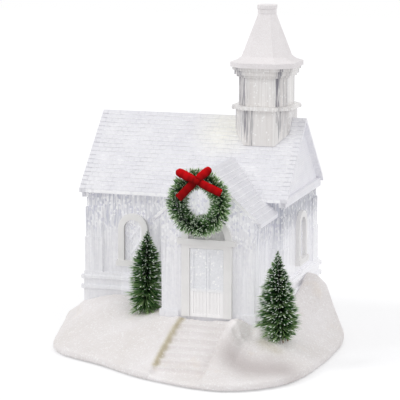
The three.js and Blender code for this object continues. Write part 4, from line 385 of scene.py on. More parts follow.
def wall_look():
    """Clear acrylic over the fill: upright flow lines, with painted shade, dark flecks and painted glints
    just under the eaves, painted shade under the right eave and in the fanlight's recess, and a painted
    glow.
    """
    look = Look("wall_acrylic", (0.80, 0.80, 0.83), 0.16, Specular_IOR_Level=0.5)
    x, y, z = look.coordinates()
    under_eave_shade = look.ramp(look.maths("DIVIDE", z, MM), UNDER_EAVE_SHADE)
    nave = look.reach(y, *PORCH_DEPTH, 0.15, 1.0)
    porch = look.fit(nave, 0.15, 1.0, 1.0, 0.0)
    beside = look.below(look.aside(x, WINDOW_X), PANE_HALF * MM)
    pane = look.times(beside, look.below(z, WINDOW_TOP * MM))
    sides = look.reach(look.aside(x, NAVE_X), *WALL_SIDES, 0.35, 1.0)
    sides = look.times(sides, look.level(pane, 1.0, 0.1), look.reach(y, *BACK_DEPTH, 1.0, 0.4))
    shaded = look.times(under_eave_shade, nave, sides)
    fade = look.reach(z, *LINES_FADE, 0.12, 1.0)
    lines = look.fit(look.noise(1.7, 3, (1, 1, 0.05)), 0.36, 0.64)
    lines = look.fit(look.times(look.maths("SUBTRACT", lines, 0.5), fade), -0.5, 0.5)
    broad = look.fit(look.noise(8, 2, (1, 1, 0.1)), 0.35, 0.65)
    calm = look.fit(fade, 0.12, 1, 0.45, 1.0)
    broad = look.fit(look.times(look.maths("SUBTRACT", broad, 0.5), calm), -0.5, 0.5)
    pale = look.mix(broad, (0.745, 0.745, 0.775), (0.84, 0.835, 0.855))
    # Painted shade on the right wall under the eave, which also dims its glow
    right_eave_shade = look.times(look.reach(x, *RIGHT_EAVE_X), look.reach(z, *RIGHT_EAVE_Z))
    pale = look.coat(pale, (0.46, 0.47, 0.53), right_eave_shade, 0.95)
    pale = look.coat(pale, (0.92, 0.92, 0.94), lines, 0.42)
    # Painted shade: bluish streaks under the eaves, less on the porch front, in the middle of the long
    # walls, at the window and at the back
    streaks = look.fit(look.noise(1.3, 2, (1, 1, 0.09)), 0.44, 0.6)
    pale = look.coat(pale, (0.46, 0.48, 0.56), streaks, shaded, 0.8)
    # Under the eaves: dark flecks of painted shade and white flecks of painted glints
    shade = look.cells(1.5, (1, 1, 0.7))["Color"]
    busy = look.level(under_eave_shade, 0.12, 0.75)
    dark = look.below(look.part(shade, "X"), 0.2)
    pale = look.coat(pale, (0.55, 0.55, 0.66), dark, busy, 0.7)
    bright = look.below(look.part(shade, "Y"), 0.2)
    pale = look.coat(pale, WHITE, bright, busy)
    # Painted shade in the recess of the fanlight above the lintel
    arch = look.below(look.from_line(x, z, (PORCH_X, LINTEL_TOP)), FANLIGHT_HALF * MM)
    recess = look.times(arch, look.above(z, LINTEL_TOP * MM), porch)
    pale = look.coat(pale, (0.56, 0.55, 0.52), recess, 0.55)
    look.cover(pale)
    # Painted glow, dimmed under the right eave
    shown = wall_glow(look, x, z, porch, pane, recess)
    look.glow(pale, look.times(shown, look.level(right_eave_shade, 1.0, 0.15)))
    look.drive("Alpha", look.level(lines, 0.75, 0.95))
    look.drive("Roughness", look.spread(look.noise(3, 2, (1, 1, 0.1)), 0.08, 0.26))
    look.relief(lines, 0.22)
    return look.material


# Tower: painted dark refraction bands as (degrees from the left side round to the right side, darkness)
TOWER_X = 46.1
TOWER_Y = 57.5
BELFRY_BANDS = (
    (0, 0.1), (24, 0.1), (27, 0.9), (33, 0.95), (38, 0.6), (44, 0.7), (48, 0.95), (53, 0.9), (57, 0.45),
    (64, 0.12), (70, 0.0), (117, 0.0), (122, 0.25), (125, 0.95), (132, 0.95), (135, 0.2), (140, 0.15),
    (142, 0.5), (144, 0.2), (155, 0.5), (158, 0.1), (180, 0.0),
)
SHAFT_BANDS = (
    (0, 0.05), (24, 0.05), (27, 0.8), (30, 0.85), (33, 0.25), (44, 0.3), (52, 0.45), (58, 0.85), (66, 0.9),
    (69, 0.25), (74, 0.8), (77, 0.6), (80, 0.0), (121, 0.0), (126, 0.7), (132, 0.75), (136, 0.3),
    (150, 0.35), (156, 0.1), (170, 0.45), (180, 0.3),
)
BAND_FADE_Z = (158, 162)
BAND_FADE_REACH = 9


def tower_look(name, bands, strength, alpha, ragged_band_ends=False):
    """Clear acrylic of the tower: fluted, with painted dark upright bands where its cut corners bend the
    light, and a faint painted glow.
    """
    look = Look(name, (0.86, 0.845, 0.835), 0.14, Specular_IOR_Level=0.55)
    flute = look.fit(look.noise(1.0, 2, (1, 1, 0.02)), 0.42, 0.58)
    wide = look.fit(look.noise(5, 1, (1, 1, 0.06)), 0.35, 0.65)
    face = look.mix(wide, (0.84, 0.815, 0.80), (0.90, 0.885, 0.875))
    face = look.coat(face, (0.60, 0.575, 0.56), flute, 0.6)
    x, y, z = look.coordinates()
    to_left = look.times(look.maths("SUBTRACT", x, TOWER_X * MM), -1.0)
    turn = look.maths("ARCTAN2", look.aside(y, TOWER_Y), to_left)
    broken = look.fit(look.noise(1.1, 3, (1, 1, 0.08)), 0.38, 0.56, 0.15, 1.0)
    # Painted refraction: dark bands round the tower, broken up, and on the shaft ending raggedly at their
    # lower ends
    band = look.times(look.ramp(look.maths("DEGREES", turn), bands), broken, strength)
    if ragged_band_ends:
        ends = look.fit(look.noise(2.0, 2, (1, 1, 0.02)), 0.35, 0.65, -BAND_FADE_REACH * MM, BAND_FADE_REACH * MM)
        band = look.times(band, look.reach(look.maths("ADD", z, ends), *BAND_FADE_Z))
    fleck = look.below(look.part(look.cells(0.9, (1, 1, 0.7))["Color"], "X"), 0.04)
    face = look.coat(face, WHITE, fleck, 0.6)
    look.cover(look.mix(band, face, (0.13, 0.125, 0.17)))
    # Painted glow, none on the dark bands
    look.glow(face, look.level(band, 0.1, 0.0))
    look.drive("Alpha", look.level(flute, alpha, min(1.0, alpha + 0.12)))
    look.drive("Roughness", look.spread(look.noise(3, 2), 0.06, 0.22))
    look.relief(look.noise(1.2, 2, (1, 1, 0.04)), 0.25)
    return look.material


DOOR_RAIL_Z = (50, 54)


def door_look():
    """Glazed above the middle rail with painted sparkle highlights, ribbed panels below it, and a faint
    painted glow.
    """
    look = Look("door_acrylic", (0.84, 0.84, 0.86), 0.15, Specular_IOR_Level=0.5)
    upper = look.reach(look.part(look.place, "Z"), *DOOR_RAIL_Z)
    shade = look.cells(1.1)["Color"]
    tone = look.level(look.part(shade, "X"), 0, 0.6)
    glazed = look.mix(tone, (0.80, 0.81, 0.835), (0.92, 0.92, 0.95))
    # Painted sparkle highlights on the glazing
    spark = look.below(look.part(shade, "Z"), 0.07)
    glazed = look.mix(spark, glazed, WHITE)
    rib = look.noise(1.4, 1, (1, 1, 0.03))
    panels = look.mix(look.fit(rib, 0.35, 0.65), (0.89, 0.88, 0.885), (0.93, 0.92, 0.92))
    pale = look.mix(upper, panels, glazed)
    look.cover(pale)
    # Painted glow
    look.glow(pale, 0.08)
    look.drive("Alpha", look.level(upper, 0.98, 0.9))
    look.relief(rib, 0.06)
    return look.material


def clear_look():
    """Plain clear acrylic, faintly cloudy."""
    look = Look("plain_acrylic", (0.84, 0.85, 0.87), 0.12, Specular_IOR_Level=0.6)
    look.cover(look.mix(look.noise(8, 3), (0.78, 0.79, 0.83), (0.88, 0.88, 0.90)))
    look.relief(look.noise(4, 2), 0.1)
    return look.material


def fill_look():
    """The liquid with its finest glitter, as a pale cloudy body behind the walls, with a painted glow."""
    look = Look("glitter_liquid", (0.80, 0.81, 0.85), 0.35)
    grains = look.cells(1.1)
    body = look.mix(look.spread(look.noise(11, 4)), (0.72, 0.73, 0.78), (0.86, 0.86, 0.89))
    body = look.coat(body, (0.97, 0.97, 1.0), look.part(grains["Color"], "X"), 0.4)
    look.cover(body)
    # Painted glow
    look.glow(body, 0.2)
    look.relief(grains["Distance"], 0.2)
    return look.material


def flake_look():
    """Glitter film: silver, with a faint lavender or blue turn from flake to flake."""
    look = Look("glitter_flake", (0.85, 0.86, 0.9), 0.18, Metallic=0.85)
    tint = look.attribute("tint")["Fac"]
    cold = look.mix(look.fit(tint, 0, 0.5), (0.55, 0.56, 0.66), (0.80, 0.82, 0.88))
    look.cover(look.mix(look.fit(tint, 0.5, 1), cold, WHITE))
    look.drive("Roughness", look.spread(look.noise(2, 1), 0.1, 0.3))
    return look.material


def moulded_look(name, colour, roughness, grain=0.5, depth=0.05, spread=0.06, glow=0.0):
    """Moulded plastic or rubber: a fine texture, with slightly uneven colour and shine, and an optional
    painted glow.
    """
    look = Look(name, colour, roughness)
    darker = tuple(value * (1 - spread) for value in colour)
    lighter = tuple(min(1, value * (1 + spread)) for value in colour)
    look.cover(look.mix(look.spread(look.noise(12, 4)), darker, lighter))
    look.drive("Roughness", look.spread(look.noise(6, 3), roughness * 0.85, roughness * 1.15))
    look.relief(look.noise(grain, 3), depth)
    # Painted glow
    if glow:
        look.glow((*colour, 1), glow)
    return look.material


FRAME_WHITE = (0.84, 0.83, 0.825)


def jamb_look():
    """The front window's frame, with painted shade on the inner side that faces the viewer, and a faint
    painted glow.
    """
    look = Look("shaded_frame", FRAME_WHITE, 0.42)
    jamb = look.fit(look.part(look.facing, "X"), 0.5, 0.9)
    face = look.mix(look.spread(look.noise(12, 4)), (0.82, 0.81, 0.80), (0.87, 0.86, 0.85))
    # Painted shade on the inner side
    look.cover(look.mix(jamb, face, (0.5, 0.49, 0.48)))
    # Painted glow, none on the shaded inner side
    look.glow(face, look.level(jamb, 0.04, 0.0))
    look.relief(look.noise(1.2, 3), 0.06)
    return look.material


def metal_look(name, colour, roughness, stretch=(1, 1, 1)):
    """Plated metal with fine brushing and faint stains."""
    look = Look(name, colour, roughness, Metallic=1.0)
    dull = tuple(0.72 * value for value in colour)
    look.cover(look.mix(look.fit(look.noise(7, 4), 0.35, 0.75), colour, dull))
    brushing = look.noise(0.5, 3, stretch)
    look.drive("Roughness", look.spread(brushing, roughness * 0.7, roughness * 1.4))
    look.relief(look.noise(0.4, 2, stretch), 0.02)
    return look.material


def board_look(name, resist, track):
    """A circuit board: solder resist with narrow tracks showing under it."""
    look = Look(name, resist, 0.35, Coat_Weight=0.3)
    wave = look.add("TexWave", {
        "Vector": look.place, "Scale": 160.0, "Distortion": 5.0, "Detail": 1.0, "Detail Scale": 0.6,
    }, bands_direction="DIAGONAL").outputs["Fac"]
    line = look.fit(wave, 0.62, 0.72)
    look.cover(look.mix(line, resist, track))
    look.relief(line, 0.04)
    return look.material


CELLS_Y = 57.5
SLEEVE_HALF = 25.2


def jacket_look():
    """A dry cell: dark sleeve, a bare metal band at each end."""
    look = Look("cell_jacket", (0.05, 0.055, 0.065), 0.35)
    bare = look.above(look.aside(look.part(look.place, "Y"), CELLS_Y), SLEEVE_HALF * MM)
    sleeve = look.mix(look.noise(9, 2), (0.045, 0.05, 0.06), (0.075, 0.08, 0.095))
    look.cover(look.mix(bare, sleeve, (0.75, 0.74, 0.72)))
    look.drive("Metallic", bare)
    look.relief(look.noise(2, 2), 0.03)
    return look.material


def strand_look(name, root, middle, tip, frost):
    """Dyed bristles, each as bright as its attribute says, with painted shade darker toward the roots
    inside the brush, paler at their ends, with thick flock on some of them.
    """
    look = Look(name, middle, 0.6)
    strand = look.attribute("strand")["Vector"]
    along, chance, snowed = (look.part(strand, axis) for axis in "XYZ")
    # Each strand's brightness picks its colour between the root's painted shade, the middle and the tip
    shade_and_dye = look.mix(look.fit(chance, 0.0, 0.45), root, middle)
    shade_and_dye = look.mix(look.fit(chance, 0.5, 1.0), shade_and_dye, tip)
    # Painted shade: darker toward the roots, inside the brush
    shade_and_dye = look.mix(look.fit(along, 0.2, 0.75), root, shade_and_dye)
    shade_and_dye = look.mix(look.fit(along, 0.72, 1.0, 0.0, 0.6), shade_and_dye, tip)
    white = look.times(look.fit(along, 0.6, 0.75), snowed)
    look.cover(look.mix(white, shade_and_dye, frost))
    look.drive("Roughness", look.level(white, 0.5, 0.9))
    look.relief(look.noise(0.6, 2), 0.05)
    return look.material


def velvet_look():
    """Short red pile, bright where the attribute says that light falls on it."""
    sheen = {"Sheen_Weight": 0.12, "Sheen_Roughness": 0.4, "Sheen_Tint": (1.0, 0.1, 0.1, 1)}
    look = Look("velvet", (0.5, 0.004, 0.008), 0.9, Specular_IOR_Level=0.1, **sheen)
    nap = look.spread(look.noise(0.5, 3))
    pile = look.mix(look.attribute("lit")["Fac"], (0.10, 0.0005, 0.001), (0.78, 0.006, 0.010))
    look.cover(look.coat(pile, (0.22, 0.001, 0.002), nap, 0.35))
    look.relief(look.noise(0.35, 3), 0.09)
    return look.material


def lens_look():
    """The lamp's warm lens."""
    look = Look("lamp_lens", (0.95, 0.86, 0.66), 0.25)
    look.cover(look.mix(look.noise(3, 2), (0.95, 0.84, 0.6), (0.98, 0.92, 0.78)))
    look.glow((1.0, 0.82, 0.55, 1), 1.2)
    look.relief(look.noise(2, 2), 0.04)
    return look.material


# Strand colours: root (painted shade), middle, tip and flock
TREE_SHADE_AND_DYES = ((0.003, 0.014, 0.004), (0.04, 0.17, 0.03), (0.38, 0.55, 0.24), (0.97, 1.0, 0.97))
WREATH_SHADE_AND_DYES = ((0.012, 0.05, 0.014), (0.17, 0.38, 0.10), (0.62, 0.80, 0.46), (0.95, 1.0, 0.90))
SLOT_LOOKS = {
    "clear_acrylic": clear_look(),
    "frosted_acrylic": roof_look("frosted_resin", WARM_FROST),
    "frame_white": moulded_look(
        "frame_white", FRAME_WHITE, 0.42, grain=1.2, depth=0.06, spread=0.03, glow=0.02,
    ),
    "glitter_liquid": fill_look(),
    "white_plastic": moulded_look("white_plastic", (0.80, 0.79, 0.76), 0.5),
    "dark_rubber": moulded_look("dark_rubber", (0.03, 0.03, 0.032), 0.85, grain=0.8, depth=0.08),
    "dark_plastic": moulded_look("dark_plastic", (0.035, 0.036, 0.04), 0.5),
    "grey_rubber": moulded_look("grey_rubber", (0.5, 0.49, 0.47), 0.8, grain=0.9, depth=0.08),
    "board_green": board_look("board_green", (0.02, 0.13, 0.05), (0.06, 0.26, 0.10)),
    "board_white": board_look("board_white", (0.78, 0.78, 0.76), (0.62, 0.60, 0.50)),
    "plated_steel": metal_look("plated_steel", (0.72, 0.71, 0.69), 0.3, (1, 0.15, 1)),
    "magnet_nickel": metal_look("magnet_nickel", (0.70, 0.68, 0.64), 0.2),
    "lamp_lens": lens_look(),
    "cell_jacket": jacket_look(),
    "lead_red": moulded_look("lead_red", (0.42, 0.02, 0.015), 0.4, spread=0.15),
    "lead_black": moulded_look("lead_black", (0.02, 0.02, 0.022), 0.4, spread=0.2),
    "snow_resin": snow_look(),
    "brush_green": strand_look("tree_strands", *TREE_SHADE_AND_DYES),
    "red_ribbon": velvet_look(),
}
NODE_LOOKS = {
    "chapel_walls": wall_look(),
    "chapel_roof": roof_look("shingled_resin", LAVENDER_FROST, shingle_joints),
    "double_door": door_look(),
    "window_frame_front": jamb_look(),
    "steeple_base": tower_look("shaft_acrylic", SHAFT_BANDS, 0.78, 0.85, ragged_band_ends=True),
    "belfry": tower_look("belfry_acrylic", BELFRY_BANDS, 0.9, 0.85),
    "steeple_ledge": tower_look("ledge_acrylic", BELFRY_BANDS, 0.3, 0.92),
}


def dress_nodes():
    for name, node in frame["nodes"].items():
        for held in node.material_slots:
            held.material = NODE_LOOKS.get(name) or SLOT_LOOKS[held.material.name]


dress_nodes()


# Pieces
def piece(name, mesh, material, replaces=()):
    made = bpy.data.objects.new(name, mesh)
    bpy.context.collection.objects.link(made)
    mesh.materials.clear()
    mesh.materials.append(material)
    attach(made, BODY)
    if replaces:
        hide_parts(*replaces)
    return made


def new_mesh(name, points, faces):
    """A mesh from points in mm."""
    mesh = bpy.data.meshes.new(name)
    mesh.from_pydata((np.array(points) * MM).tolist(), [], faces)
    return mesh


def paint(mesh, name, values):
    """Keeps one value for each point of the mesh, for its material to read."""
    mesh.attributes.new(name, "FLOAT", "POINT").data.foreach_set("value", values)


def applied(owner):
    """The mesh of an object with its modifiers applied."""
    graph = bpy.context.evaluated_depsgraph_get()
    graph.update()
    return bpy.data.meshes.new_from_object(owner.evaluated_get(graph))


def vertex_values(mesh, name):
    values = np.zeros(len(mesh.vertices) * 3)
    mesh.vertices.foreach_get(name, values)
    return values.reshape(-1, 3)


def nearness(places, path, reach):
    """1 for places on a path seen from above, fading with their distance from it."""
    nearest = np.full(len(places), np.inf)
    for start, end in zip(path, path[1:]):
        start, end = np.array(start), np.array(end)
        run = end - start
        share = np.clip((places[:, :2] - start) @ run / (run @ run), 0, 1)
        away = places[:, :2] - start - share[:, None] * run
        nearest = np.minimum(nearest, np.linalg.norm(away, axis=1))
    return np.exp(-((nearest / reach) ** 2))


def square_to(along):
    """Two directions for each given one, square to it and to each other."""
    helper = np.where(np.abs(along[:, 2:]) < 0.8, [[0, 0, 1.0]], [[1.0, 0, 0]])
    side = np.cross(along, helper)
    side /= np.linalg.norm(side, axis=1, keepdims=True)
    return side, np.cross(along, side)


# Snow bank: the imported shell, remeshed finely and softened, with faint painted shade along the steps
SNOW_VOXEL = 1.3
WELD = 0.01
STEP_EDGE = [(9.0, -38.0), (8.0, -60.0), (7.4, -100.0)]
LEFT_TREE_FOOT = [(-25.0, -26.0), (-15.0, -28.0)]
RIGHT_TREE_FOOT = [(77.0, -58.0), (88.0, -63.0)]
# Paths of tan painted shade: (path, reach, strength)
TAN_SHADES = ((STEP_EDGE, 2.2, 1.0), (LEFT_TREE_FOOT, 4.0, 0.5), (RIGHT_TREE_FOOT, 5.0, 0.45))
# Grey painted shade along the foot of the bank, and its strength on the risers
BANK_FOOT = [(63.0, -86.0), (74.0, -92.0), (98.0, -84.0)]
BANK_FOOT_REACH = 14.0
BANK_PAINTED_SHADE = 0.95
# The hollow by the porch, where light is painted
LIT_HOLLOW = [(56.0, -50.0), (61.0, -45.0), (66.0, -45.0)]
LIT_HOLLOW_REACH = 8.0
STEPS_X = (9.0, 46.0)
STEPS_Y = (-112.0, -44.0)
STEPS_Z = 4
RISER_PAINTED_SHADE = 0.26


def soft_shell():
    """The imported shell's mesh, welded, remeshed finely and softened."""
    mesh = frame["nodes"]["snow_base"].data.copy()
    shell = bmesh.new()
    shell.from_mesh(mesh)
    bmesh.ops.remove_doubles(shell, verts=shell.verts, dist=WELD * MM)
    shell.to_mesh(mesh)
    shell.free()
    draft = bpy.data.objects.new("draft", mesh)
    bpy.context.collection.objects.link(draft)
    voxels = draft.modifiers.new("voxels", "REMESH")
    voxels.mode = "VOXEL"
    voxels.voxel_size = SNOW_VOXEL * MM
    soften = draft.modifiers.new("soften", "SMOOTH")
    soften.factor = 0.5
    soften.iterations = 4
    snow = applied(draft)
    bpy.data.objects.remove(draft)
    snow.shade_smooth()
    return snow


def riser_faces(snow, places):
    """1 on the steps where the snow faces the viewer, where grey shade is painted."""
    steep = np.clip((-vertex_values(snow, "normal")[:, 1] - 0.3) / 0.35, 0, 1)
    x, y, z = places.T
    beside = (x > STEPS_X[0]) & (x < STEPS_X[1])
    return steep * (beside & (y > STEPS_Y[0]) & (y < STEPS_Y[1]) & (z > STEPS_Z))


def snow_bank():
    snow = soft_shell()
    places = vertex_values(snow, "co") / MM
    # Tan painted shade along these paths
    tan_shades = [strength * nearness(places, path, reach) for path, reach, strength in TAN_SHADES]
    paint(snow, "tan_shade", np.max(tan_shades, axis=0))
    # Painted light in the hollow by the porch, kept as the lift attribute
    paint(snow, "lift", nearness(places, LIT_HOLLOW, LIT_HOLLOW_REACH))
    # Grey painted shade at the bank's foot and on the risers
    bank = BANK_PAINTED_SHADE * nearness(places, BANK_FOOT, BANK_FOOT_REACH)
    paint(snow, "painted_shade", np.maximum(bank, RISER_PAINTED_SHADE * riser_faces(snow, places)))
    return piece("snow_bank", snow, SLOT_LOOKS["snow_resin"], ["snow_base"])


snow_bank()

# Bristles: thin three sided strands, each kept as root, bend and tip, thicker at the bend where flocked
STRAND_SIDES = 3
STRAND_POINTS = 7
STRAND_ALONG = [0, 0, 0, 0.62, 0.62, 0.62, 1]
FLOCKED = 0.3
PLAIN_BEND = 0.6
FLOCKED_BEND = 0.8
PLAIN_WIDTH = 0.8
FLOCKED_WIDTH = 1.45


def strand_faces(start):
    """Faces of the strand whose points begin at start: its shaft, then its point."""
    faces = []
    for turn in range(STRAND_SIDES):
        after = (turn + 1) % STRAND_SIDES
        bend = start + STRAND_SIDES
        faces.append((start + turn, start + after, bend + after, bend + turn))
        faces.append((bend + turn, bend + after, start + STRAND_POINTS - 1))
    return faces


def strand_mesh(name, roots, tips, half, bright, frost, droop):
    """Strands from roots to tips, with their tone, their share of flock and the droop of their bends."""
    count = len(roots)
    run = tips - roots
    side, other = square_to(run / np.linalg.norm(run, axis=1, keepdims=True))
    flocked = frost > FLOCKED
    bend = roots + np.where(flocked, FLOCKED_BEND, PLAIN_BEND)[:, None] * run + droop
    bend_half = np.where(flocked, FLOCKED_WIDTH, PLAIN_WIDTH) * half
    rings = []
    for middle, width in ((roots, np.full(count, half)), (bend, bend_half)):
        for turn in range(STRAND_SIDES):
            angle = 2 * math.pi * turn / STRAND_SIDES
            rings.append(middle + width[:, None] * (math.cos(angle) * side + math.sin(angle) * other))
    points = np.stack([*rings, tips], axis=1).reshape(-1, 3)
    faces = []
    for start in range(0, STRAND_POINTS * count, STRAND_POINTS):
        faces += strand_faces(start)
    mesh = new_mesh(name, points, faces)
    colours = np.ones((count, STRAND_POINTS, 4))
    colours[:, :, 0] = STRAND_ALONG
    colours[:, :, 1] = np.clip(bright, 0, 1)[:, None]
    colours[:, :, 2] = frost[:, None]
    mesh.attributes.new("strand", "FLOAT_COLOR", "POINT").data.foreach_set("color", colours.ravel())
    return mesh


# Trees: the foot of each stem, the brush's largest radius and outline, its lean and its share of flock
TREES = {
    "tree_left": {
        "foot": (-27.5, -20.5, 28.6), "radius": 14.8, "shape": (0.9, 1.6),
        "lean": 1.5, "frosted": 0.3, "uneven": 0.0,
    },
    "tree_right": {
        "foot": (89.0, -49.0, 21.3), "radius": 18.2, "shape": (0.5, 1.2),
        "lean": -3.0, "frosted": 0.6, "uneven": 0.14,
    },
}
BRUSH_START = 3.0
BRUSH_END = 3
ROW_PITCH = 2.3
ROW_STRANDS = 98
FEWEST = 0.25
STRAND_HALF = 0.38
STEM_HALF = 0.3
TWIST_PITCH = 6.0
FOOT_SHARE = 0.2

# Lengths of bristles as shares of the outline's radius; climb, hang and sag as shares of their length
FULL_LENGTH = 0.86
CREST_LENGTH = 0.09
RAGGED_BELOW = 0.22
RAGGED_FOOT = 0.26
RAGGED = 0.12
FULL_CHANCE = 0.78
SHORTER = 0.3
CLIMB = 0.45
HANG = 0.2
SAG = 0.35
LEVEL_SPREAD = 0.25
CLIMB_SPREAD = 0.9


def brush_share(up, shape):
    """Radius at a share of the height, as a share of the largest: it widens over the foot, then tapers."""
    foot, taper = shape
    skirt = np.minimum(1, foot + (1 - foot) * up / FOOT_SHARE)
    return skirt * np.sin(np.pi / 2 * np.minimum(1, taper * (1 - up)))


def brush_row(row, rows, height, radius, shape, uneven):
    """Roots and tips of one turn of bristles on an upright stem, and how near each is to a crest."""
    up = (row + 0.5) / rows
    reach = radius * brush_share(up, shape)
    count = int(ROW_STRANDS * (FEWEST + (1 - FEWEST) * reach / radius))
    angle = rng.random(count) * 2 * math.pi
    wound = (angle / (2 * math.pi) - 0.5) / rows
    level = BRUSH_START + (up + wound) * (height - BRUSH_START - BRUSH_END)
    level = level + rng.normal(0, LEVEL_SPREAD, count)
    crest = np.cos(2 * math.pi * level / TWIST_PITCH - angle)
    crest *= 1 + 0.5 * np.sin(5 * angle + 0.7 * row)
    ragged = (RAGGED_FOOT if up < RAGGED_BELOW else RAGGED) * rng.random(count) ** 1.5
    short = SHORTER * (rng.random(count) > FULL_CHANCE)
    length = reach * (FULL_LENGTH + CREST_LENGTH * crest + ragged - short)
    length *= 1 - uneven * np.cos(angle)
    sag = SAG * max(0.0, 1 - up / FOOT_SHARE) * rng.random(count)
    climb = (CLIMB * up - HANG - sag) * length + rng.normal(0, CLIMB_SPREAD, count)
    out = np.stack([np.cos(angle), np.sin(angle), np.zeros(count)], axis=1)
    roots = out * STEM_HALF + level[:, None] * [[0, 0, 1]]
    tips = out * length[:, None] + (level + climb)[:, None] * [[0, 0, 1]]
    return roots, tips, crest


def brush_tree(node, foot, radius, shape, lean, frosted, uneven):
    high = np.array(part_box(node)[1]) / MM
    height = high[2] - foot[2]
    rows = int((height - BRUSH_START) / ROW_PITCH)
    grown = [brush_row(row, rows, height, radius, shape, uneven) for row in range(rows)]
    roots, tips, crest = (np.concatenate(values) for values in zip(*grown))
    count = len(roots)
    upper = np.clip((roots[:, 2] - BRUSH_START) / height, 0, 1)
    # Each strand's brightness: random tone, with painted light on the crests and on the lower strands
    bright = 0.75 * rng.random(count) + 0.25 * crest + 0.3 * (1 - upper) ** 2
    clump = np.cos(1.7 * tips[:, 0] + 0.6) * np.cos(0.9 * tips[:, 2]) + 0.4 * crest
    snowy = frosted * (0.35 + 1.1 * upper) * np.clip(1 + 1.1 * clump, 0.1, 2)
    frost = (rng.random(count) < snowy) * (0.55 + 0.45 * rng.random(count))
    droop = np.stack([np.zeros(count), np.zeros(count), -0.5 * rng.random(count)], axis=1)
    turn = np.array(Matrix.Rotation(math.radians(lean), 3, "Y"))
    roots, tips = roots @ turn.T + foot, tips @ turn.T + foot
    mesh = strand_mesh(node + "_strands", roots, tips, STRAND_HALF, bright, frost, droop)
    return piece(node + "_brush", mesh, SLOT_LOOKS["brush_green"], [node])


WIRE_HALF = 0.4
LEG_COUNT = 4
LEG_START = 28
LEG_SPREAD = 4.6
LEG_TOP = 4.0
LEG_WIRE = metal_look("leg_wire", (0.20, 0.13, 0.08), 0.45)


def leg_corners(foot, degrees):
    """Three squares along a wire that runs out from the stem, bends and ends just inside the snow."""
    angle = math.radians(degrees)
    out = np.array([math.cos(angle), math.sin(angle), 0])
    side = np.array([-math.sin(angle), math.cos(angle), 0])
    up = np.array([0, 0, 1])
    hub = foot + LEG_TOP * up
    elbow = foot + LEG_SPREAD * out + LEG_TOP * up
    toe = foot + LEG_SPREAD * out - up
    corners = []
    for place, wide in ((hub, up), (elbow, (out + up) * 0.7), (toe, out)):
        for a, b in ((-1, -1), (1, -1), (1, 1), (-1, 1)):
            corners.append(place + WIRE_HALF * (a * side + b * wide))
    return corners


def wire_legs(node, foot):
    """Four bent wire legs that stand the stem in the snow."""
    corners, faces = [], []
    for leg in range(LEG_COUNT):
        start = len(corners)
        corners += leg_corners(np.array(foot), LEG_START + 360 / LEG_COUNT * leg)
        for ring in (start, start + 4):
            for k in range(4):
                after = (k + 1) % 4
                faces.append((ring + k, ring + after, ring + 4 + after, ring + 4 + k))
        faces.append(tuple(start + k for k in (3, 2, 1, 0)))
        faces.append(tuple(start + 8 + k for k in range(4)))
    return piece(node + "_legs", new_mesh(node + "_legs", corners, faces), LEG_WIRE)


for node, values in TREES.items():
    brush_tree(node, **values)
    wire_legs(node, values["foot"])

# Wreath: the same bristles round a ring of twisted wire, pressed in behind the bow
WREATH_RING = (16.9, 18.1)
WREATH_BRUSH = 9.3
WREATH_ROWS = 84
WREATH_ROW_STRANDS = 30
WREATH_HALF = 0.36
WREATH_BACK = 0.72
WREATH_SPREAD = 0.12
WREATH_FLOCKED = 0.6
WREATH_LIGHT_FROM = 40
BOW_MIDDLE = np.array([25.0, 0, 138.8])
BOW_REACH = 21.0
BOW_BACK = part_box("bow")[1][1] / MM


def wreath_brush():
    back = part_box("wreath")[1][1] / MM
    middle = np.array([WREATH_X, back - WREATH_BRUSH * WREATH_BACK, WREATH_Z])
    count = WREATH_ROWS * WREATH_ROW_STRANDS
    swing = rng.random(count) * 2 * math.pi
    row = np.repeat(np.arange(WREATH_ROWS), WREATH_ROW_STRANDS)
    around = (row + swing / (2 * math.pi)) * 2 * math.pi / WREATH_ROWS
    radial = np.stack([np.cos(around), np.zeros(count), np.sin(around)], axis=1)
    out = radial * np.sin(swing)[:, None] + np.array([[0, -1, 0]]) * np.cos(swing)[:, None]
    out += rng.normal(0, WREATH_SPREAD, (count, 3))
    out /= np.linalg.norm(out, axis=1, keepdims=True)
    ring = middle + np.array([[WREATH_RING[0], 0, WREATH_RING[1]]]) * radial
    length = WREATH_BRUSH * (0.78 + 0.32 * rng.random(count) ** 1.5)
    tips = ring + out * length[:, None]
    tips[:, 1] = np.minimum(tips[:, 1], back)
    under = np.hypot(tips[:, 0] - BOW_MIDDLE[0], tips[:, 2] - BOW_MIDDLE[2]) < BOW_REACH
    tips[under, 1] = np.maximum(tips[under, 1], BOW_BACK + 0.3)
    frost = (rng.random(count) < WREATH_FLOCKED) * (0.4 + 0.6 * rng.random(count))
    # Each strand's brightness: random tone, with painted light on strands pointing out from the ring and on
    # the side toward the light
    toward_light = 0.12 * np.cos(around - math.radians(WREATH_LIGHT_FROM))
    bright = rng.random(count) * (0.8 + 0.3 * np.sin(swing)) + toward_light
    straight = np.zeros((count, 3))
    mesh = strand_mesh("wreath_strands", ring + out * 0.4, tips, WREATH_HALF, bright, frost, straight)
    look = strand_look("wreath_strands", *WREATH_SHADE_AND_DYES)
    return piece("wreath_brush", mesh, look, ["wreath"])


wreath_brush()

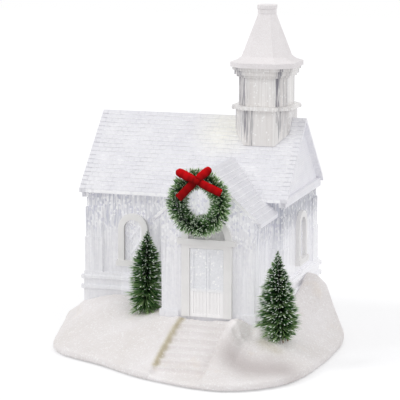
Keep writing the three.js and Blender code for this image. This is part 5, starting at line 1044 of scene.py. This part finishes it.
# Bow: two bands of velvet ribbon that cross, each a loop on one side and a tail on the other
RIBBON_WIDTH = 6.2
RIBBON_THICK = 0.8
RIBBON_SECTION = [
    (-0.5, 0.0), (-0.47, 0.36), (-0.25, 0.5), (0.0, 0.5), (0.25, 0.5), (0.47, 0.36),
    (0.5, 0.0), (0.47, -0.36), (0.25, -0.5), (0.0, -0.5), (-0.25, -0.5), (-0.47, -0.36),
]
KNOT_SHADE = 7.0
FOLD_SHADE = 0.16
LOOP_DEPTH = 3.6
LOOP_STEPS = 8
TAIL_STEPS = 12
TAIL_END = [0.975, 0.995, 1.0]
KNOT_WIDTH = 4.4
KNOT_HALF = (2.6, 2.0)
KNOT_STEPS = 12
KNOT_TILT = -24
LOOPS = (("bow_loop_right", 41, 14.6, 0.2, 0.95), ("bow_loop_left", 156, 16.2, 0.9, 1.0))
TAILS = (("bow_tail_left", 225, 20.2, 0.2, 0.42), ("bow_tail_right", -24, 21.0, 1.2, 0.75))
TAIL_WAVE = 1.3


def ribbon_band(path, widths):
    """A flat band along a path in the plane of length and depth; each point is (length, depth)."""
    path = np.array(path)
    ahead = np.gradient(path, axis=0)
    ahead /= np.linalg.norm(ahead, axis=1, keepdims=True)
    across = np.stack([-ahead[:, 1], ahead[:, 0]], axis=1)
    points, faces = [], []
    for (u, v), (du, dv), width in zip(path, across, widths):
        for w, t in RIBBON_SECTION:
            points.append((u + du * t * RIBBON_THICK, v + dv * t * RIBBON_THICK, w * width))
    sides = len(RIBBON_SECTION)
    for row in range(len(path) - 1):
        for k in range(sides):
            a, b = row * sides + k, row * sides + (k + 1) % sides
            faces.append((a, b, b + sides, a + sides))
    faces.append(tuple(range(sides))[::-1])
    faces.append(tuple(range(len(points) - sides, len(points))))
    return np.array(points), faces


def ribbon(name, path, widths, degrees, lift, shade):
    """Places the band in the bow: length runs at the given angle, depth towards the viewer."""
    points, faces = ribbon_band(path, widths)
    angle = math.radians(degrees)
    run = np.array([math.cos(angle), 0, math.sin(angle)])
    wide = np.array([-math.sin(angle), 0, math.cos(angle)])
    near = np.array([0, -1, 0])
    placed = BOW_MIDDLE + np.array([0, BOW_BACK - lift, 0])
    world = placed + points[:, :1] * run + points[:, 1:2] * near + points[:, 2:] * wide
    mesh = new_mesh(name, world, faces)
    shape = bmesh.new()
    shape.from_mesh(mesh)
    bmesh.ops.recalc_face_normals(shape, faces=shape.faces)
    shape.to_mesh(mesh)
    shape.free()
    mesh.shade_smooth()
    upward = points[:, 2] * math.copysign(1, wide[2]) / RIBBON_WIDTH
    from_knot = np.clip(points[:, 0] / KNOT_SHADE, 0, 1)
    fold = FOLD_SHADE * np.sin(points[:, 0] * 1.1 + degrees)
    paint(mesh, "lit", np.clip(fold + 1.1 * (upward + 0.22) + 0.42 * from_knot, 0.03, 1) * shade)
    made = piece(name, mesh, SLOT_LOOKS["red_ribbon"], ["bow"])
    made.modifiers.new("round", "SUBSURF").render_levels = 2
    return made


def loop_path(length):
    """Out along the back, round the end and home along the front, puffed a little in its middle."""
    path = []
    turn = LOOP_DEPTH / 2 - RIBBON_THICK / 2
    for step in range(LOOP_STEPS + 1):
        share = step / LOOP_STEPS
        path.append((share * (length - turn), RIBBON_THICK / 2 + turn * 0.3 * (1 - share)))
    for step in range(1, LOOP_STEPS):
        angle = -math.pi / 2 + math.pi * step / LOOP_STEPS
        depth = RIBBON_THICK / 2 + turn + turn * math.sin(angle)
        path.append((length - turn + turn * math.cos(angle), depth))
    for step in range(LOOP_STEPS + 1):
        share = 1 - step / LOOP_STEPS
        path.append((share * (length - turn), RIBBON_THICK / 2 + turn * (2 - 0.9 * (1 - share) ** 2)))
    half = RIBBON_WIDTH / 2
    widths = []
    for place in path:
        near_end = max(0.0, (place[0] - (length - half)) / half)
        gathered = 0.72 + 0.28 * min(1, max(0, place[0]) / 5)
        widths.append(RIBBON_WIDTH * gathered * math.sqrt(max(0.12, 1 - near_end ** 2.4)))
    return path, widths


def tail_path(length, wave):
    """A gently waved band, gathered at the knot and cut straight at its end."""
    path, widths = [], []
    for share in [*(step / TAIL_STEPS for step in range(TAIL_STEPS)), *TAIL_END]:
        path.append((share * length, RIBBON_THICK + 0.5 * math.sin(math.pi * wave * share)))
        widths.append(RIBBON_WIDTH * (0.74 + 0.26 * min(1, share * 4)))
    return path, widths


def bow():
    for name, degrees, length, lift, shade in LOOPS:
        ribbon(name, *loop_path(length), degrees, lift, shade)
    for name, degrees, length, lift, shade in TAILS:
        ribbon(name, *tail_path(length, TAIL_WAVE), degrees, lift, shade)
    knot = []
    for step in range(KNOT_STEPS + 1):
        angle = 2 * math.pi * step / KNOT_STEPS
        knot.append((KNOT_HALF[0] * math.cos(angle), KNOT_HALF[1] + KNOT_HALF[1] * math.sin(angle)))
    ribbon("bow_knot", knot, [KNOT_WIDTH] * len(knot), KNOT_TILT, 0.3, 0.8)


bow()

# Glitter: film flakes that float just inside the walls
FLAKES = 4200
FLAKE_RADIUS = 0.42
FLAKE_SIDES = 6
FLAKE_GAP = 0.15
FLAKE_TILT = 0.12
FLAKE_RISE = 0.2


def spots_on(mesh):
    """Random spots on the upright faces of a mesh, in mm, and the directions that these faces look in."""
    mesh.calc_loop_triangles()
    places = vertex_values(mesh, "co") / MM
    corners = np.array([triangle.vertices for triangle in mesh.loop_triangles])
    a, b, c = (places[corners[:, k]] for k in range(3))
    normal = np.cross(b - a, c - a)
    area = np.linalg.norm(normal, axis=1)
    upright = np.abs(normal[:, 2]) < 0.5 * area
    chosen = rng.choice(len(area), FLAKES, p=area * upright / (area * upright).sum())
    first, second = rng.random(FLAKES), rng.random(FLAKES)
    flip = first + second > 1
    first[flip], second[flip] = 1 - first[flip], 1 - second[flip]
    spots = a[chosen] + first[:, None] * (b - a)[chosen] + second[:, None] * (c - a)[chosen]
    return spots, normal[chosen] / area[chosen][:, None]


def glitter_flakes():
    spots, facing = spots_on(frame["nodes"]["glitter_fill"].data)
    side, other = square_to(facing)
    tilt = rng.normal(0, FLAKE_TILT, (FLAKES, 2))
    spots = spots + FLAKE_GAP * facing
    size = FLAKE_RADIUS * (0.6 + 0.8 * rng.random(FLAKES))
    points = []
    for turn in range(FLAKE_SIDES):
        angle = 2 * math.pi * turn / FLAKE_SIDES
        u, v = math.cos(angle), math.sin(angle)
        rise = np.clip(tilt[:, :1] * u + tilt[:, 1:] * v, -FLAKE_RISE, FLAKE_RISE)
        points.append(spots + size[:, None] * (u * side + v * other + rise * facing))
    starts = range(0, FLAKE_SIDES * FLAKES, FLAKE_SIDES)
    faces = [tuple(range(start, start + FLAKE_SIDES)) for start in starts]
    mesh = new_mesh("glitter_flakes", np.stack(points, axis=1).reshape(-1, 3), faces)
    paint(mesh, "tint", np.repeat(rng.random(FLAKES), FLAKE_SIDES))
    return piece("glitter_flakes", mesh, flake_look())


glitter_flakes()

# Stage: a pale floor and a white backdrop, with soft lamps
AMBIENT = 0.78
FLOOR_HALF = 3.0
FLOOR_COLOUR = (0.62, 0.62, 0.63, 1)
FLOOR_GLOW = 0.435
LAMPS = {
    "key": {"place": (-1.1, -0.6, 1.1), "spread": 22, "strength": 0.75},
    "fill": {"place": (1.3, -0.5, 0.9), "spread": 40, "strength": 0.45},
}


def seen_rays(tree):
    """1 for rays from the camera, from glossy and from clear surfaces."""
    path = tree.nodes.new("ShaderNodeLightPath")
    total = path.outputs["Is Camera Ray"]
    for name in ("Is Glossy Ray", "Is Transmission Ray"):
        node = tree.nodes.new("ShaderNodeMath")
        node.operation = "MAXIMUM"
        tree.links.new(total, node.inputs[0])
        tree.links.new(path.outputs[name], node.inputs[1])
        total = node.outputs[0]
    return total


def world():
    made = bpy.data.worlds.new("studio")
    bpy.context.scene.world = made
    made.use_nodes = True
    tree = made.node_tree
    level = tree.nodes.new("ShaderNodeMapRange")
    tree.links.new(seen_rays(tree), level.inputs["Value"])
    level.inputs["To Min"].default_value = AMBIENT
    level.inputs["To Max"].default_value = 1.0
    tree.links.new(level.outputs["Result"], tree.nodes["Background"].inputs["Strength"])
    tree.nodes["Background"].inputs["Color"].default_value = (*WHITE, 1)


def floor_look():
    """Matt, with a share of its own light where the camera sees it."""
    material = bpy.data.materials.new("floor")
    material.use_nodes = True
    tree = material.node_tree
    tree.nodes.clear()
    matt = tree.nodes.new("ShaderNodeBsdfDiffuse")
    matt.inputs["Color"].default_value = FLOOR_COLOUR
    glow = tree.nodes.new("ShaderNodeEmission")
    level = tree.nodes.new("ShaderNodeMath")
    level.operation = "MULTIPLY"
    level.inputs[1].default_value = FLOOR_GLOW
    tree.links.new(seen_rays(tree), level.inputs[0])
    tree.links.new(level.outputs[0], glow.inputs["Strength"])
    both = tree.nodes.new("ShaderNodeAddShader")
    tree.links.new(matt.outputs[0], both.inputs[0])
    tree.links.new(glow.outputs[0], both.inputs[1])
    output = tree.nodes.new("ShaderNodeOutputMaterial")
    tree.links.new(both.outputs[0], output.inputs["Surface"])
    return material


def floor():
    mesh = bpy.data.meshes.new("floor")
    corners = [(a * FLOOR_HALF, b * FLOOR_HALF, 0) for a, b in ((-1, -1), (1, -1), (1, 1), (-1, 1))]
    mesh.from_pydata(corners, [], [(0, 1, 2, 3)])
    made = bpy.data.objects.new("floor", mesh)
    bpy.context.collection.objects.link(made)
    mesh.materials.append(floor_look())


def lamps():
    for name, values in LAMPS.items():
        data = bpy.data.lights.new(name, "SUN")
        data.energy = values["strength"]
        data.angle = math.radians(values["spread"])
        lamp = bpy.data.objects.new(name, data)
        lamp.location = values["place"]
        lamp.rotation_euler = (TARGET - lamp.location).to_track_quat("-Z", "Y").to_euler()
        bpy.context.collection.objects.link(lamp)


world()
floor()
lamps()
bpy.context.scene.view_settings.view_transform = "Standard"
